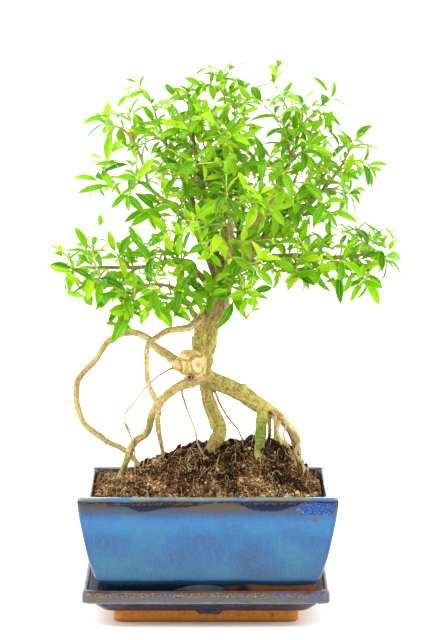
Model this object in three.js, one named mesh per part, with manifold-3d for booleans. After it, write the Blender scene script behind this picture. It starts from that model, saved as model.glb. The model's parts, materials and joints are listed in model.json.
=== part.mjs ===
// A serissa bonsai on exposed roots, in its glazed pot on a drip tray.
// Millimetres, +Z up, +X to the viewer's right, the viewer looking along +Y.
// The origin lies on the surface that the tray stands on, under the middle of the pot.

import * as THREE from "three";
import { mergeVertices } from "three/addons/utils/BufferGeometryUtils.js";
import Module from "manifold-3d";

const wasm = await Module();
wasm.setup();

// Flat steps round each corner of the pot and tray.
const CORNER_STEPS = 3;

// Clearance between pieces that touch on the real object.
const GAP = 0.3;

// Detail finer than these is left out where limbs, twigs and leaves join and where they are cut.
const FINEST_LIMB = 0.15;
const FINEST_LEAF = 0.4;
const FINEST_CUT = 0.03;

// Drip tray: half width, half depth and height of each turn of its profile.
const TRAY_SHIFT_X = -1.5;
const TRAY_CORNER = 7;
const TRAY_OUTSIDE = [
  [71.6, 46, 0],
  [71.6, 46, 9.5],
  [79, 53.5, 10.5],
  [88.5, 63, 20],
  [95.5, 70, 20.5],
  [95.5, 70, 26.6],
];
const TRAY_INSIDE = [
  [94.5, 69, 27.4],
  [91.5, 66, 27.2],
  [82.5, 57, 17],
];

// Pot: the same, from the under edge up to the lip and down to the floor inside.
const POT_CORNER = 6;
const POT_FOOT_BOTTOM = 17 + GAP;
const POT_FOOT = [
  [80.5, 55, POT_FOOT_BOTTOM],
  [84.6, 59.1, 34.5],
];
const POT_OUTSIDE = [
  [84.9, 59.4, 33.5],
  [86.9, 61.4, 35.5],
  [92.8, 67.3, 53.6],
  [96, 70.5, 69],
  [98.9, 73.4, 84.3],
  [100.6, 75.1, 98.4],
  [99.8, 74.3, 101],
  [97.4, 71.9, 102.2],
  [92.2, 66.7, 102],
  [90.1, 64.6, 100.8],
];
const POT_INSIDE_TOP = [89.2, 63.7, 99];
const POT_INSIDE_FLOOR = [80, 54.5, 40];
const POT_RECESS = [73, 47.5];
const ARCH_SHIFT_X = -4;
const ARCH_HALF_WIDTH = 31;
const ARCH_HALF_DEPTH = 20;
const ARCH_HEIGHT = 14.5;
const DRAIN_RADIUS = 7;
const DRAIN_X = 40;
const DRAIN_SIDES = 12;
// Lengths of the shapes that cut the arches and the drain holes, right through the clay.
const ARCH_CUT_LENGTH = 400;
const DRAIN_CUT_LENGTH = 40;

// Soil: level at the wall, height of the mound, where it rises and falls, and its rings of points.
const SOIL_EDGE_Z = 98.4;
const SOIL_MOUND = 33;
const SOIL_RISE_X = [-95, 5];
const SOIL_FALL_X = [56, 91];
const SOIL_RIDGE_Y = 4;
const SOIL_CREST_HALF = 8;
const SOIL_FLANK_HALF = 62;
const SOIL_RINGS = 8;
const SOIL_POINTS = 32;
const SOIL_RING_EASE = 1.1;
const SOIL_SUMMIT = 0.35;
const SOIL_DRAW = 7;
const CRUMB = 1.8;

// Wood: thick limbs have shallow flutes that wind round them.
const FLUTED_FROM_SIDES = 7;
const FLUTE_DEPTH = 0.07;
const FLUTES = 3;
const FLUTE_WIND = 5;

// Each limb's route and its radii, spread evenly along it.
const LIMBS = {
  trunk: {
    route: [[-6, 0, 178], [-4, 0, 194], [-2, 0, 206], [1, -1, 222], [5, -2, 236], [8, -2, 249], [10, -1, 261], [13, 0, 274]],
    radii: [11, 12, 11, 10, 9, 9.6, 10.4, 10],
    sides: 10,
    steps: 9,
  },
  leader_left: {
    route: [[7, 1, 266], [5, 5, 289], [2, 8, 304], [1, 10, 319], [-4, 12, 333], [-9, 10, 354], [-12, 6, 376], [-15, 4, 391]],
    radii: [4.2, 3.2, 2.8, 2.4, 2.1, 1.7, 1.4, 1.2],
    sides: 5,
    steps: 7,
  },
  leader_mid: {
    route: [[17, 2, 266], [23, 8, 282], [24, 11, 296], [23, 13, 312], [22, 14, 326], [20, 14, 346], [18, 10, 369], [14, 6, 391]],
    radii: [3, 2.6, 2.3, 2, 1.8, 1.6, 1.4, 1.2],
    sides: 5,
    steps: 6,
  },
  leader_twin: {
    route: [[15, -4, 268], [17, -5, 288], [16, -6, 310], [14, -8, 332], [16, -12, 352]],
    radii: [1.9, 1.7, 1.5, 1.3, 1.2],
    sides: 4,
    steps: 4,
  },
  thick_right: {
    route: [[14, -2, 268], [25, -6, 285], [33, -8, 296], [41, -10, 311], [48, -12, 322], [55, -12, 337], [63, -10, 354], [69, -6, 372], [73, -2, 387]],
    radii: [8, 6.4, 5.6, 5, 4, 3, 2.2, 1.6, 1.2],
    sides: 6,
    steps: 8,
  },
  second_right: {
    route: [[15, 0, 266], [35, 4, 283], [48, 8, 296], [62, 12, 306], [75, 14, 316], [87, 14, 327], [97, 10, 340], [105, 6, 352]],
    radii: [6.4, 4.6, 3.7, 3.2, 2.6, 2, 1.6, 1.2],
    sides: 6,
    steps: 7,
  },
  up_left_long: {
    route: [[6, -1, 264], [-5, -6, 290], [-14, -12, 307], [-25, -16, 318], [-37, -20, 328], [-48, -22, 337], [-58, -24, 342], [-72, -26, 344]],
    radii: [3, 2.3, 2, 1.8, 1.6, 1.5, 1.3, 1.2],
    sides: 5,
    steps: 6,
  },
  up_left_shoot: {
    route: [[-45, -21, 334], [-48, -20, 347], [-54, -18, 364], [-63, -16, 378]],
    radii: [1.5, 1.4, 1.3, 1.2],
    sides: 4,
    steps: 3,
  },
  left_mid: {
    route: [[3, 3, 270], [-5, 10, 302], [-15, 20, 328], [-24, 26, 346], [-33, 28, 366], [-40, 24, 385]],
    radii: [2.8, 2.3, 2, 1.7, 1.4, 1.2],
    sides: 5,
    steps: 5,
  },
  arm_left: {
    route: [[4, 0, 254], [-8, -6, 267], [-17, -11, 275], [-31, -13, 277], [-48, -12, 273], [-67, -10, 272], [-85, -8, 272], [-99, -6, 271]],
    radii: [3.2, 2.5, 2.2, 2, 1.8, 1.6, 1.4, 1.2],
    sides: 5,
    steps: 7,
  },
  low_left: {
    route: [[-3, -2, 227], [-12, -8, 237], [-17, -14, 247], [-26, -20, 257], [-40, -26, 261], [-54, -28, 258]],
    radii: [3, 2.2, 1.8, 1.6, 1.4, 1.2],
    sides: 5,
    steps: 5,
  },
  arm_right: {
    route: [[14, 1, 264], [37, 8, 274], [56, 14, 278], [76, 16, 278], [97, 14, 277], [115, 10, 279], [132, 6, 282]],
    radii: [4, 2.8, 2.4, 2, 1.8, 1.5, 1.2],
    sides: 5,
    steps: 5,
  },
  back_rise: {
    route: [[12, 2, 262], [13, 22, 286], [10, 42, 312], [4, 56, 336], [-2, 64, 356]],
    radii: [4.4, 3.2, 2.4, 1.8, 1.2],
    sides: 5,
    steps: 5,
  },
  back_right: {
    route: [[37, 5, 285], [48, 22, 300], [60, 40, 318], [70, 52, 338]],
    radii: [2.8, 2.2, 1.8, 1.2],
    sides: 4,
    steps: 3,
  },
  front_rise: {
    route: [[12, -2, 262], [16, -22, 284], [18, -40, 304], [16, -54, 322]],
    radii: [3.4, 2.4, 1.8, 1.2],
    sides: 4,
    steps: 4,
  },
};

// Roots: routes that end below the soil's surface.
const ROOTS = {
  aerial: {
    route: [[-2, -4, 235], [-8, -11, 231], [-14, -15, 226], [-25, -20, 225], [-32, -22, 224], [-39, -24, 220], [-44, -26, 217], [-47, -28, 212], [-47, -29, 203], [-47, -30, 192], [-45, -30, 182], [-41, -29, 173], [-38, -27, 164], [-39, -23, 155], [-38, -17, 143], [-36, -9, 131], [-34, -4, 119], [-33, -2, 108]],
    radii: [3.4, 2.6, 2.3, 2.1, 2.1, 2.1, 2.1, 2.1, 1.7, 1.2],
    sides: 5,
    steps: 15,
  },
  loop: {
    route: [[-14, -4, 193], [-26, -2, 198], [-33, 1, 203], [-42, 5, 209], [-48, 8, 215], [-56, 11, 218], [-64, 13, 218], [-72, 15, 215], [-78, 16, 211], [-83, 16, 204], [-88, 16, 196], [-95, 16, 189], [-101, 15, 182], [-103, 14, 175], [-103, 13, 165], [-101, 12, 155], [-96, 12, 145], [-87, 12, 138], [-77, 12, 131], [-68, 12, 127], [-61, 12, 121], [-53, 12, 112], [-47, 12, 102]],
    radii: [4.4, 3.2, 2.6, 2.4, 2.4, 2.2, 2.1, 2.1, 2.1, 2, 1.8, 1.3],
    sides: 5,
    steps: 17,
  },
  left_leg: {
    route: [[-5, -4, 188], [-14, -11, 183], [-21, -13, 180], [-28, -15, 176], [-35, -16, 170], [-40, -16, 163], [-44, -15, 156], [-46, -13, 147], [-49, -11, 141], [-56, -8, 136], [-60, -6, 130], [-63, -4, 121], [-66, -2, 113], [-70, 0, 103], [-72, 2, 92]],
    radii: [6, 4, 3.3, 3, 2.9, 2.7, 2.4, 2, 1.6, 1.2],
    sides: 6,
    steps: 12,
  },
  middle_leg: {
    route: [[-4, 2, 186], [-2, 4, 180], [0, 2, 171], [4, 0, 160], [8, -2, 150], [9, -5, 141], [5, -9, 134], [2, -12, 125], [1, -13, 112]],
    radii: [6, 4.2, 3.9, 4.2, 4.7, 4.8, 4.4, 3],
    sides: 7,
    steps: 8,
  },
  middle_strand: {
    route: [[-4, 0, 184], [-4, -3, 172], [-3, -6, 164], [1, -8, 154], [4, -7, 145]],
    radii: [2, 1.5, 1.4, 1.5, 1.6],
    sides: 4,
    steps: 4,
  },
  right_thigh: {
    route: [[-6, 0, 189], [3, 1, 184], [13, 2, 178], [24, 3, 173], [35, 2, 166], [44, 0, 160], [50, 0, 156]],
    radii: [11, 8.6, 6.6, 5.9, 5.8, 5.4, 4.2],
    sides: 8,
    steps: 5,
  },
  right_leg: {
    route: [[44, 0, 160], [42, -5, 152], [41, -11, 143], [41, -17, 133], [42, -23, 121], [43, -26, 108]],
    radii: [5, 4.4, 3.9, 4.4, 5, 3.4],
    sides: 7,
    steps: 5,
  },
  right_outer: {
    route: [[46, 0, 159], [55, 4, 156], [61, 7, 149], [67, 10, 141], [70, 12, 132], [72, 13, 121], [73, 13, 108]],
    radii: [4.2, 3.2, 2.9, 2.6, 2.3, 1.8],
    sides: 5,
    steps: 6,
  },
  right_thin: {
    route: [[47, -2, 159], [52, -7, 153], [53, -11, 145], [52, -16, 135], [51, -20, 124], [51, -22, 112]],
    radii: [2.4, 1.7, 1.6, 1.5, 1.2],
    sides: 4,
    steps: 5,
  },
  right_inner: {
    route: [[46, 1, 158], [48, 2, 150], [48, -4, 141], [47, -11, 133], [47, -16, 124], [47, -18, 112]],
    radii: [2, 1.5, 1.4, 1.4, 1.2],
    sides: 4,
    steps: 5,
  },
  right_fibrous: {
    route: [[50, 0, 157], [54, -5, 146], [58, -11, 137], [63, -17, 130], [68, -24, 119], [70, -28, 106]],
    radii: [2.4, 2.2, 2.8, 3.2, 3.1, 2.2],
    sides: 5,
    steps: 5,
  },
  rootlet_left: {
    route: [[-20, -7, 195], [-29, -12, 193], [-36, -17, 190], [-43, -20, 185], [-49, -22, 179], [-56, -22, 170], [-63, -20, 161], [-65, -17, 153], [-62, -14, 144], [-58, -10, 133], [-57, -6, 122], [-57, -4, 106]],
    radii: [1, 0.7, 0.7, 0.7, 0.7, 0.7],
    sides: 3,
    steps: 11,
  },
  rootlet_mid: {
    route: [[-14, -8, 187], [-20, -12, 177], [-18, -13, 167], [-14, -13, 156], [-10, -13, 145], [-8, -14, 135], [-3, -17, 124], [-1, -18, 112]],
    radii: [1.1, 0.9, 0.8, 0.8, 0.8],
    sides: 3,
    steps: 7,
  },
  rootlet_right: {
    route: [[4, 2, 176], [10, 5, 162], [16, 4, 152], [23, 0, 144], [27, -4, 135], [30, -8, 124], [31, -9, 112]],
    radii: [1.1, 0.8, 0.7, 0.7, 0.7],
    sides: 3,
    steps: 6,
  },
};

// Lumps of the old cut stub at the trunk's foot and of the swollen fork: middle and half sizes.
const LUMPS = [
  { middle: [-13, -8, 196], half: [10, 8, 9] },
  { middle: [-21.5, -8, 195], half: [5.5, 6, 5.5] },
  { middle: [-14.5, -9, 203.5], half: [6.5, 5.5, 5] },
  { middle: [13, 0, 271], half: [11, 8.5, 8] },
];
const STUB_CUT = { from: [-11, -8, 196], to: [-7.5, -17.5, 197], radius: 6.4, sides: 10 };

// Leafy sprays: the limb that each grows on, how far along it, and the tips of its twigs.
// The first twig leaves the limb and the others fork from it.
const SPRAYS = [
  { on: "arm_left", at: 1, tips: [[-113, -6, 262], [-113, 4, 285], [-106, -32, 274]] },
  { on: "arm_left", at: 0.86, tips: [[-100, 10, 292], [-90, 34, 284]] },
  { on: "arm_left", at: 0.78, tips: [[-94, -18, 253], [-84, -42, 262]] },
  { on: "arm_left", at: 0.66, tips: [[-79, -20, 293], [-70, -48, 284]] },
  { on: "arm_left", at: 0.6, tips: [[-80, 10, 243], [-68, 38, 262]] },
  { on: "arm_left", at: 0.45, tips: [[-62, 12, 290], [-52, 42, 284]] },
  { on: "arm_left", at: 0.32, tips: [[-45, -26, 294], [-50, -54, 284]] },
  { on: "low_left", at: 1, tips: [[-69, -26, 229], [-68, -48, 250]] },
  { on: "low_left", at: 0.72, tips: [[-45, -44, 241], [-44, -64, 262]] },
  { on: "low_left", at: 0.5, tips: [[-30, -34, 238], [-20, -54, 262]] },
  { on: "up_left_long", at: 1, tips: [[-95, -30, 338], [-84, -48, 354]] },
  { on: "up_left_long", at: 0.75, tips: [[-66, -50, 328], [-52, -64, 346]] },
  { on: "up_left_long", at: 0.5, tips: [[-54, -4, 312], [-44, -38, 314]] },
  { on: "up_left_shoot", at: 1, tips: [[-89, -20, 389], [-78, -38, 376]] },
  { on: "up_left_shoot", at: 0.75, tips: [[-62, -2, 401], [-80, 10, 380]] },
  { on: "left_mid", at: 1, tips: [[-47, 18, 407], [-26, 36, 402]] },
  { on: "left_mid", at: 0.75, tips: [[-57, 44, 382], [-64, 32, 358]] },
  { on: "left_mid", at: 0.5, tips: [[-40, 60, 346], [-22, 68, 362]] },
  { on: "leader_left", at: 1, tips: [[-15, 2, 418], [-32, -8, 409]] },
  { on: "leader_left", at: 0.8, tips: [[-34, -22, 388], [-8, -36, 396]] },
  { on: "leader_left", at: 0.5, tips: [[-28, -38, 350], [-10, -56, 362]] },
  { on: "leader_mid", at: 1, tips: [[10, 6, 433], [-3, 20, 420]] },
  { on: "leader_mid", at: 0.85, tips: [[29, 18, 418], [18, 42, 406]] },
  { on: "leader_mid", at: 0.66, tips: [[-4, 48, 386], [30, 50, 384]] },
  { on: "leader_twin", at: 1, tips: [[30, -32, 379], [12, -50, 384]] },
  { on: "thick_right", at: 1, tips: [[73, -4, 410], [88, 6, 402]] },
  { on: "thick_right", at: 0.86, tips: [[46, -6, 425], [56, 14, 408]] },
  { on: "thick_right", at: 0.76, tips: [[52, -38, 400], [34, -22, 412]] },
  { on: "thick_right", at: 0.93, tips: [[104, 2, 410], [96, 20, 388]] },
  { on: "thick_right", at: 0.6, tips: [[40, -52, 366], [60, -60, 352]] },
  { on: "thick_right", at: 0.7, tips: [[84, -34, 374], [98, -16, 388]] },
  { on: "second_right", at: 1, tips: [[120, 0, 380], [108, 14, 376]] },
  { on: "second_right", at: 0.9, tips: [[131, 18, 356], [128, -26, 352]] },
  { on: "second_right", at: 0.75, tips: [[121, 8, 326], [112, 36, 336]] },
  { on: "second_right", at: 0.66, tips: [[100, 44, 362], [84, 58, 346]] },
  { on: "second_right", at: 0.55, tips: [[102, -20, 315], [92, -46, 326]] },
  { on: "second_right", at: 0.4, tips: [[72, -50, 330], [56, -68, 340]] },
  { on: "arm_right", at: 1, tips: [[145, 4, 272], [134, -26, 288]] },
  { on: "arm_right", at: 0.9, tips: [[127, -2, 300], [118, 30, 292]] },
  { on: "arm_right", at: 0.82, tips: [[129, 10, 247], [120, -24, 256]] },
  { on: "arm_right", at: 0.65, tips: [[104, -26, 264], [104, -48, 282]] },
  { on: "arm_right", at: 0.55, tips: [[86, 22, 256], [90, 44, 276]] },
  { on: "arm_right", at: 0.4, tips: [[70, -16, 263], [70, -38, 298]] },
  { on: "trunk", at: 0.84, tips: [[24, -28, 240], [45, -22, 251]] },
  { on: "trunk", at: 0.74, tips: [[-14, -32, 256], [2, -46, 252]] },
  { on: "back_rise", at: 1, tips: [[-10, 80, 378], [14, 78, 382]] },
  { on: "back_rise", at: 0.7, tips: [[-32, 78, 328], [-12, 92, 342]] },
  { on: "back_rise", at: 0.55, tips: [[34, 72, 350], [26, 88, 328]] },
  { on: "back_rise", at: 0.35, tips: [[-22, 60, 296], [6, 78, 294]] },
  { on: "back_right", at: 1, tips: [[80, 68, 360], [56, 68, 366]] },
  { on: "back_right", at: 0.6, tips: [[82, 64, 312], [50, 74, 314]] },
  { on: "front_rise", at: 1, tips: [[12, -72, 342], [34, -74, 328]] },
  { on: "front_rise", at: 0.7, tips: [[-8, -64, 312], [8, -80, 300]] },
  { on: "front_rise", at: 0.45, tips: [[42, -50, 298], [28, -66, 280]] },
];

// Twigs: each ends short of its tip, which is the point of its outermost leaf.
const LEAF_REACH = 11;
const SHORTEST_TWIG = 9;
const TWIG_RADIUS = 1.25;
const TWIG_TIP_RADIUS = 0.75;
const TWIG_SIDES = 3;
const TWIG_STEPS = 3;
const FORK_AT = 0.42;
// A twig sets out towards its tip by the first share and along its parent by the second.
const TWIG_TO_TIP = 0.7;
const TWIG_TO_PARENT = 0.3;
const TWIG_RISE = 0.18;
const TWIG_BEND = 0.45;

// Leaves: blade sizes, and the space that other sprays leave round a blade.
const LEAF_LENGTH = 22;
const LEAF_WIDTH = 7.4;
const LEAF_THICKNESS = 1.2;
const LEAF_STATIONS = [0.34, 0.7];
const LEAF_FOLD = 0.16;
const LEAF_ARCH = 0.2;
const LEAF_TRIES = 7;
const LEAF_ROOM = 1.65;
const TWIG_ROOM = 0.9;
const PAIR_SPACING = 36;
const END_PAIR = { at: 0.97, open: 40, size: 0.92 };
const SIDE_PAIR = { at: 0.74, open: 58, size: 1 };
const PAIR_STEP = 0.24;
// Turns in degrees: of each spray, of each pair, and the random swing and opening of a leaf,
// which grow with each try to find room.
const SPRAY_TURN = 47;
const PAIR_TURN = 90;
const SWING = { first: 40, more: 22 };
const WIDER = { first: 24, more: 9 };
const LEAF_LEAST = 0.84;
const LEAF_VARIES = 0.32;
// A leaf's upper side looks partly along its twig and partly up.
const UPPER_ALONG = 0.8;
const UPPER_UP = 0.7;
// Where a blade's room is measured.
const BLADE_CHECKS = [0.25, 0.4, 0.55, 0.7, 0.85, 1];
const BLADE_NARROWS = 0.8;
const BLADE_EDGE = 0.85;
const CHECK_EVERY = 3;

const COLOURS = {
  leaf: 0x6fb81a,
  bark: 0xa08a55,
  soil: 0x4a3524,
  glaze: 0x2f6fa8,
  trayGlaze: 0x5d7484,
};

function vector(place) {
  return new THREE.Vector3(place[0], place[1], place[2]);
}

function smooth(from, to, value) {
  return THREE.MathUtils.smoothstep(value, from, to);
}

// An even number from 0 to 1 for three whole numbers, the same each time.
function chance(a, b, c) {
  let h = Math.imul(a + 1, 374761393) ^ Math.imul(b + 1, 668265263) ^ Math.imul(c + 1, 1274126177);
  h = Math.imul(h ^ (h >>> 15), 2246822519);
  h = Math.imul(h ^ (h >>> 13), 3266489917);
  return ((h ^ (h >>> 16)) >>> 0) / 4294967296;
}

// A value between listed ones that are spread evenly from 0 to 1.
function spread(values, t) {
  const place = t * (values.length - 1);
  const left = Math.min(Math.floor(place), values.length - 2);
  return THREE.MathUtils.lerp(values[left], values[left + 1], place - left);
}

// Solids

function solidOf(geometry) {
  const bare = geometry.clone();
  bare.deleteAttribute("normal");
  bare.deleteAttribute("uv");
  const merged = mergeVertices(bare, 1e-4);
  const mesh = new wasm.Mesh({
    numProp: 3,
    vertProperties: new Float32Array(merged.attributes.position.array),
    triVerts: new Uint32Array(merged.index.array),
  });
  return new wasm.Manifold(mesh);
}

function geometryOf(solid) {
  const mesh = solid.getMesh();
  const geometry = new THREE.BufferGeometry();
  geometry.setAttribute("position", new THREE.BufferAttribute(mesh.vertProperties, 3));
  geometry.setIndex(new THREE.BufferAttribute(mesh.triVerts, 1));
  return geometry;
}

// A closed skin over rings of points that all have the same number of points.
// A ring's points run anticlockwise as seen from the last ring.
function skin(rings) {
  const count = rings[0].length;
  const places = rings.flat().flatMap((p) => [p.x, p.y, p.z]);
  const faces = [];
  for (let ring = 0; ring + 1 < rings.length; ring++) {
    for (let i = 0; i < count; i++) {
      const a = ring * count + i;
      const b = ring * count + ((i + 1) % count);
      faces.push(a, b, b + count, a, b + count, a + count);
    }
  }
  const last = (rings.length - 1) * count;
  for (let i = 1; i + 1 < count; i++) {
    faces.push(0, i + 1, i);
    faces.push(last, last + i, last + i + 1);
  }
  const geometry = new THREE.BufferGeometry();
  geometry.setAttribute("position", new THREE.Float32BufferAttribute(places, 3));
  geometry.setIndex(faces);
  return geometry;
}

// The corners of a rounded rectangle with a few points round each corner.
function roundedRing(halfWidth, halfDepth, height, corner) {
  const points = [];
  for (let quarter = 0; quarter < 4; quarter++) {
    const signX = quarter === 0 || quarter === 3 ? 1 : -1;
    const signY = quarter < 2 ? 1 : -1;
    for (let i = 0; i <= CORNER_STEPS; i++) {
      const angle = ((quarter + i / CORNER_STEPS) * Math.PI) / 2;
      const x = signX * (halfWidth - corner) + corner * Math.cos(angle);
      const y = signY * (halfDepth - corner) + corner * Math.sin(angle);
      points.push(new THREE.Vector3(x, y, height));
    }
  }
  return points;
}

// A tube of changing radius along a curve, closed at both ends.
function tubeRings(curve, radiusAt, sides, steps) {
  const rings = [];
  let normal = new THREE.Vector3();
  for (let step = 0; step <= steps; step++) {
    const t = step / steps;
    const tangent = tangentAt(curve, t);
    if (step === 0) normal = sideways(tangent);
    normal.addScaledVector(tangent, -normal.dot(tangent)).normalize();
    const across = new THREE.Vector3().crossVectors(tangent, normal);
    const middle = curve.getPoint(t);
    const ring = [];
    for (let i = 0; i < sides; i++) {
      const angle = (i / sides) * Math.PI * 2;
      const radius = radiusAt(t, angle);
      ring.push(
        middle
          .clone()
          .addScaledVector(normal, radius * Math.cos(angle))
          .addScaledVector(across, radius * Math.sin(angle)),
      );
    }
    rings.push(ring);
  }
  return rings;
}

function tangentAt(curve, t) {
  const before = curve.getPoint(Math.max(t - 0.01, 0));
  const after = curve.getPoint(Math.min(t + 0.01, 1));
  return after.sub(before).normalize();
}

// A direction square to the given one, level where that can be.
function sideways(direction) {
  const up = Math.abs(direction.z) > 0.95 ? new THREE.Vector3(1, 0, 0) : new THREE.Vector3(0, 0, 1);
  return new THREE.Vector3().crossVectors(direction, up).normalize();
}

function routeCurve(route) {
  return new THREE.CatmullRomCurve3(route.map(vector), false, "catmullrom", 0.5);
}

// A limb or root, thicker by the clearance where it stands for the room left round it.
function limbSolid(limb, clearance = 0) {
  const extra = clearance / Math.cos(Math.PI / limb.sides);
  const depth = limb.sides >= FLUTED_FROM_SIDES ? FLUTE_DEPTH : 0;
  const flute = (t, angle) => 1 + depth * Math.cos(FLUTES * angle + FLUTE_WIND * t);
  const radiusAt = (t, angle) => spread(limb.radii, t) * flute(t, angle) + extra;
  const curve = routeCurve(limb.route);
  const rings = tubeRings(curve, radiusAt, limb.sides, limb.steps);
  for (const point of rings[rings.length - 1]) point.addScaledVector(tangentAt(curve, 1), clearance);
  return solidOf(skin(rings));
}

function fuse(solids) {
  return solids.reduce((whole, solid) => whole.add(solid));
}

function lumpSolid({ middle, half }) {
  const geometry = new THREE.IcosahedronGeometry(1, 1);
  geometry.scale(half[0], half[1], half[2]);
  geometry.translate(middle[0], middle[1], middle[2]);
  return solidOf(geometry);
}

function largestOf(solid) {
  return solid.decompose().sort((a, b) => b.volume() - a.volume())[0];
}

// Drip tray

function trayGeometry() {
  const rings = [...TRAY_OUTSIDE, ...TRAY_INSIDE].map(([w, d, z]) => roundedRing(w, d, z, TRAY_CORNER));
  const geometry = skin(rings);
  geometry.translate(TRAY_SHIFT_X, 0, 0);
  return geometry;
}

// Pot

function archSolid(halfWidth, along, shift) {
  const shape = new THREE.Shape();
  shape.absellipse(0, 0, halfWidth, ARCH_HEIGHT, 0, Math.PI * 2);
  const options = { depth: ARCH_CUT_LENGTH, bevelEnabled: false, curveSegments: 10 };
  const geometry = new THREE.ExtrudeGeometry(shape, options);
  geometry.translate(0, 0, -ARCH_CUT_LENGTH / 2);
  geometry.rotateX(Math.PI / 2);
  if (along === "x") geometry.rotateZ(Math.PI / 2);
  geometry.translate(shift, 0, POT_FOOT_BOTTOM);
  return solidOf(geometry);
}

// A stretch of the pot: the solid through the given half widths, half depths and heights.
function potStretch(profile) {
  return solidOf(skin(profile.map(([w, d, z]) => roundedRing(w, d, z, POT_CORNER))));
}

function potSolid() {
  const body = potStretch([...POT_OUTSIDE, POT_INSIDE_TOP, POT_INSIDE_FLOOR]);
  const recess = potStretch([0, POT_OUTSIDE[0][2]].map((z) => [...POT_RECESS, z]));
  const footRing = potStretch(POT_FOOT)
    .subtract(recess)
    .subtract(archSolid(ARCH_HALF_WIDTH, "y", ARCH_SHIFT_X))
    .subtract(archSolid(ARCH_HALF_DEPTH, "x", 0));
  let pot = body.add(footRing);
  for (const x of [-DRAIN_X, DRAIN_X]) {
    const hole = new THREE.CylinderGeometry(DRAIN_RADIUS, DRAIN_RADIUS, DRAIN_CUT_LENGTH, DRAIN_SIDES);
    hole.rotateX(Math.PI / 2);
    hole.translate(x, 0, POT_INSIDE_FLOOR[2]);
    pot = pot.subtract(solidOf(hole));
  }
  return pot;
}

// Soil

function soilHeight(x, y) {
  const rise = smooth(SOIL_RISE_X[0], SOIL_RISE_X[1], x);
  const fall = 1 - smooth(SOIL_FALL_X[0], SOIL_FALL_X[1], x);
  const across = 1 - smooth(SOIL_CREST_HALF, SOIL_FLANK_HALF, Math.abs(y - SOIL_RIDGE_Y));
  return SOIL_EDGE_Z + SOIL_MOUND * rise * fall * across;
}

function soilWall(height) {
  const t = (height - POT_INSIDE_FLOOR[2]) / (POT_INSIDE_TOP[2] - POT_INSIDE_FLOOR[2]);
  const halfWidth = THREE.MathUtils.lerp(POT_INSIDE_FLOOR[0], POT_INSIDE_TOP[0], t);
  const halfDepth = THREE.MathUtils.lerp(POT_INSIDE_FLOOR[1], POT_INSIDE_TOP[1], t);
  return [halfWidth - GAP * 1.2, halfDepth - GAP * 1.2];
}

// The same outline with its points spread evenly.
function evenRing(ring, count) {
  const outline = new THREE.CurvePath();
  ring.forEach((point, i) => outline.add(new THREE.LineCurve3(point, ring[(i + 1) % ring.length])));
  return outline.getSpacedPoints(count).slice(0, count);
}

function soilBlock() {
  const floor = POT_INSIDE_FLOOR[2] + GAP;
  const edge = SOIL_EDGE_Z - 1;
  const rings = [floor, edge].map((z) => evenRing(roundedRing(...soilWall(z), z, POT_CORNER), SOIL_POINTS));
  const rim = rings[1];
  for (let ring = 1; ring <= SOIL_RINGS; ring++) {
    const inward = 1 - Math.pow(ring / (SOIL_RINGS + SOIL_SUMMIT), SOIL_RING_EASE);
    rings.push(
      rim.map((point, i) => {
        const x = point.x * inward;
        const y = point.y * inward;
        const crumb = CRUMB * (chance(ring, i, SOIL_DRAW) - 0.5) * 2;
        return new THREE.Vector3(x, y, soilHeight(x, y) + crumb);
      }),
    );
  }
  return solidOf(skin(rings));
}

function soilSolid() {
  const holes = Object.values(ROOTS).map((root) => limbSolid(root, GAP));
  return largestOf(holes.reduce((soil, hole) => soil.subtract(hole), soilBlock()).simplify(FINEST_CUT));
}

// Twigs and leaves

// The curve of a twig that sets out between its parent's direction and its own tip's.
function twigCurve(start, parentDirection, tip) {
  const reach = new THREE.Vector3().subVectors(tip, start);
  reach.setLength(Math.max(reach.length() - LEAF_REACH, SHORTEST_TWIG));
  const length = reach.length();
  const outward = reach.clone().normalize().multiplyScalar(TWIG_TO_TIP);
  outward.addScaledVector(parentDirection, TWIG_TO_PARENT);
  outward.z += TWIG_RISE;
  outward.normalize();
  const bend = start.clone().addScaledVector(outward, length * TWIG_BEND);
  return new THREE.QuadraticBezierCurve3(start, bend, start.clone().add(reach));
}

function chordLength(curve) {
  return curve.getPoint(0).distanceTo(curve.getPoint(1));
}

// The twigs of one spray: the first on its limb, the rest forking from the first.
function sprayTwigs(spray) {
  const limb = LIMBS[spray.on];
  const limbCurve = routeCurve(limb.route);
  const start = limbCurve.getPoint(spray.at);
  const first = twigCurve(start, tangentAt(limbCurve, spray.at), vector(spray.tips[0]));
  const forks = spray.tips.slice(1).map((tip) => {
    return twigCurve(first.getPoint(FORK_AT), tangentAt(first, FORK_AT), vector(tip));
  });
  return [first, ...forks];
}

function twigRadius(t) {
  return THREE.MathUtils.lerp(TWIG_RADIUS, TWIG_TIP_RADIUS, t);
}

function twigSolid(twig) {
  return solidOf(skin(tubeRings(twig, twigRadius, TWIG_SIDES, TWIG_STEPS)));
}

// Where leaves sit on a twig: how far along, turned by how much, how wide open, how large.
function leafSlots(twigIndex, length) {
  const slots = [0, 180].map((turn) => ({ ...END_PAIR, turn }));
  const pairs = twigIndex === 0 ? Math.max(1, Math.round(length / PAIR_SPACING)) : 1;
  for (let pair = 0; pair < pairs; pair++) {
    const slot = { ...SIDE_PAIR, at: SIDE_PAIR.at - PAIR_STEP * pair, turn: PAIR_TURN * (pair + 1) };
    slots.push(slot);
    if (twigIndex === 0) slots.push({ ...slot, turn: slot.turn + 180 });
  }
  return slots;
}

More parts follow.
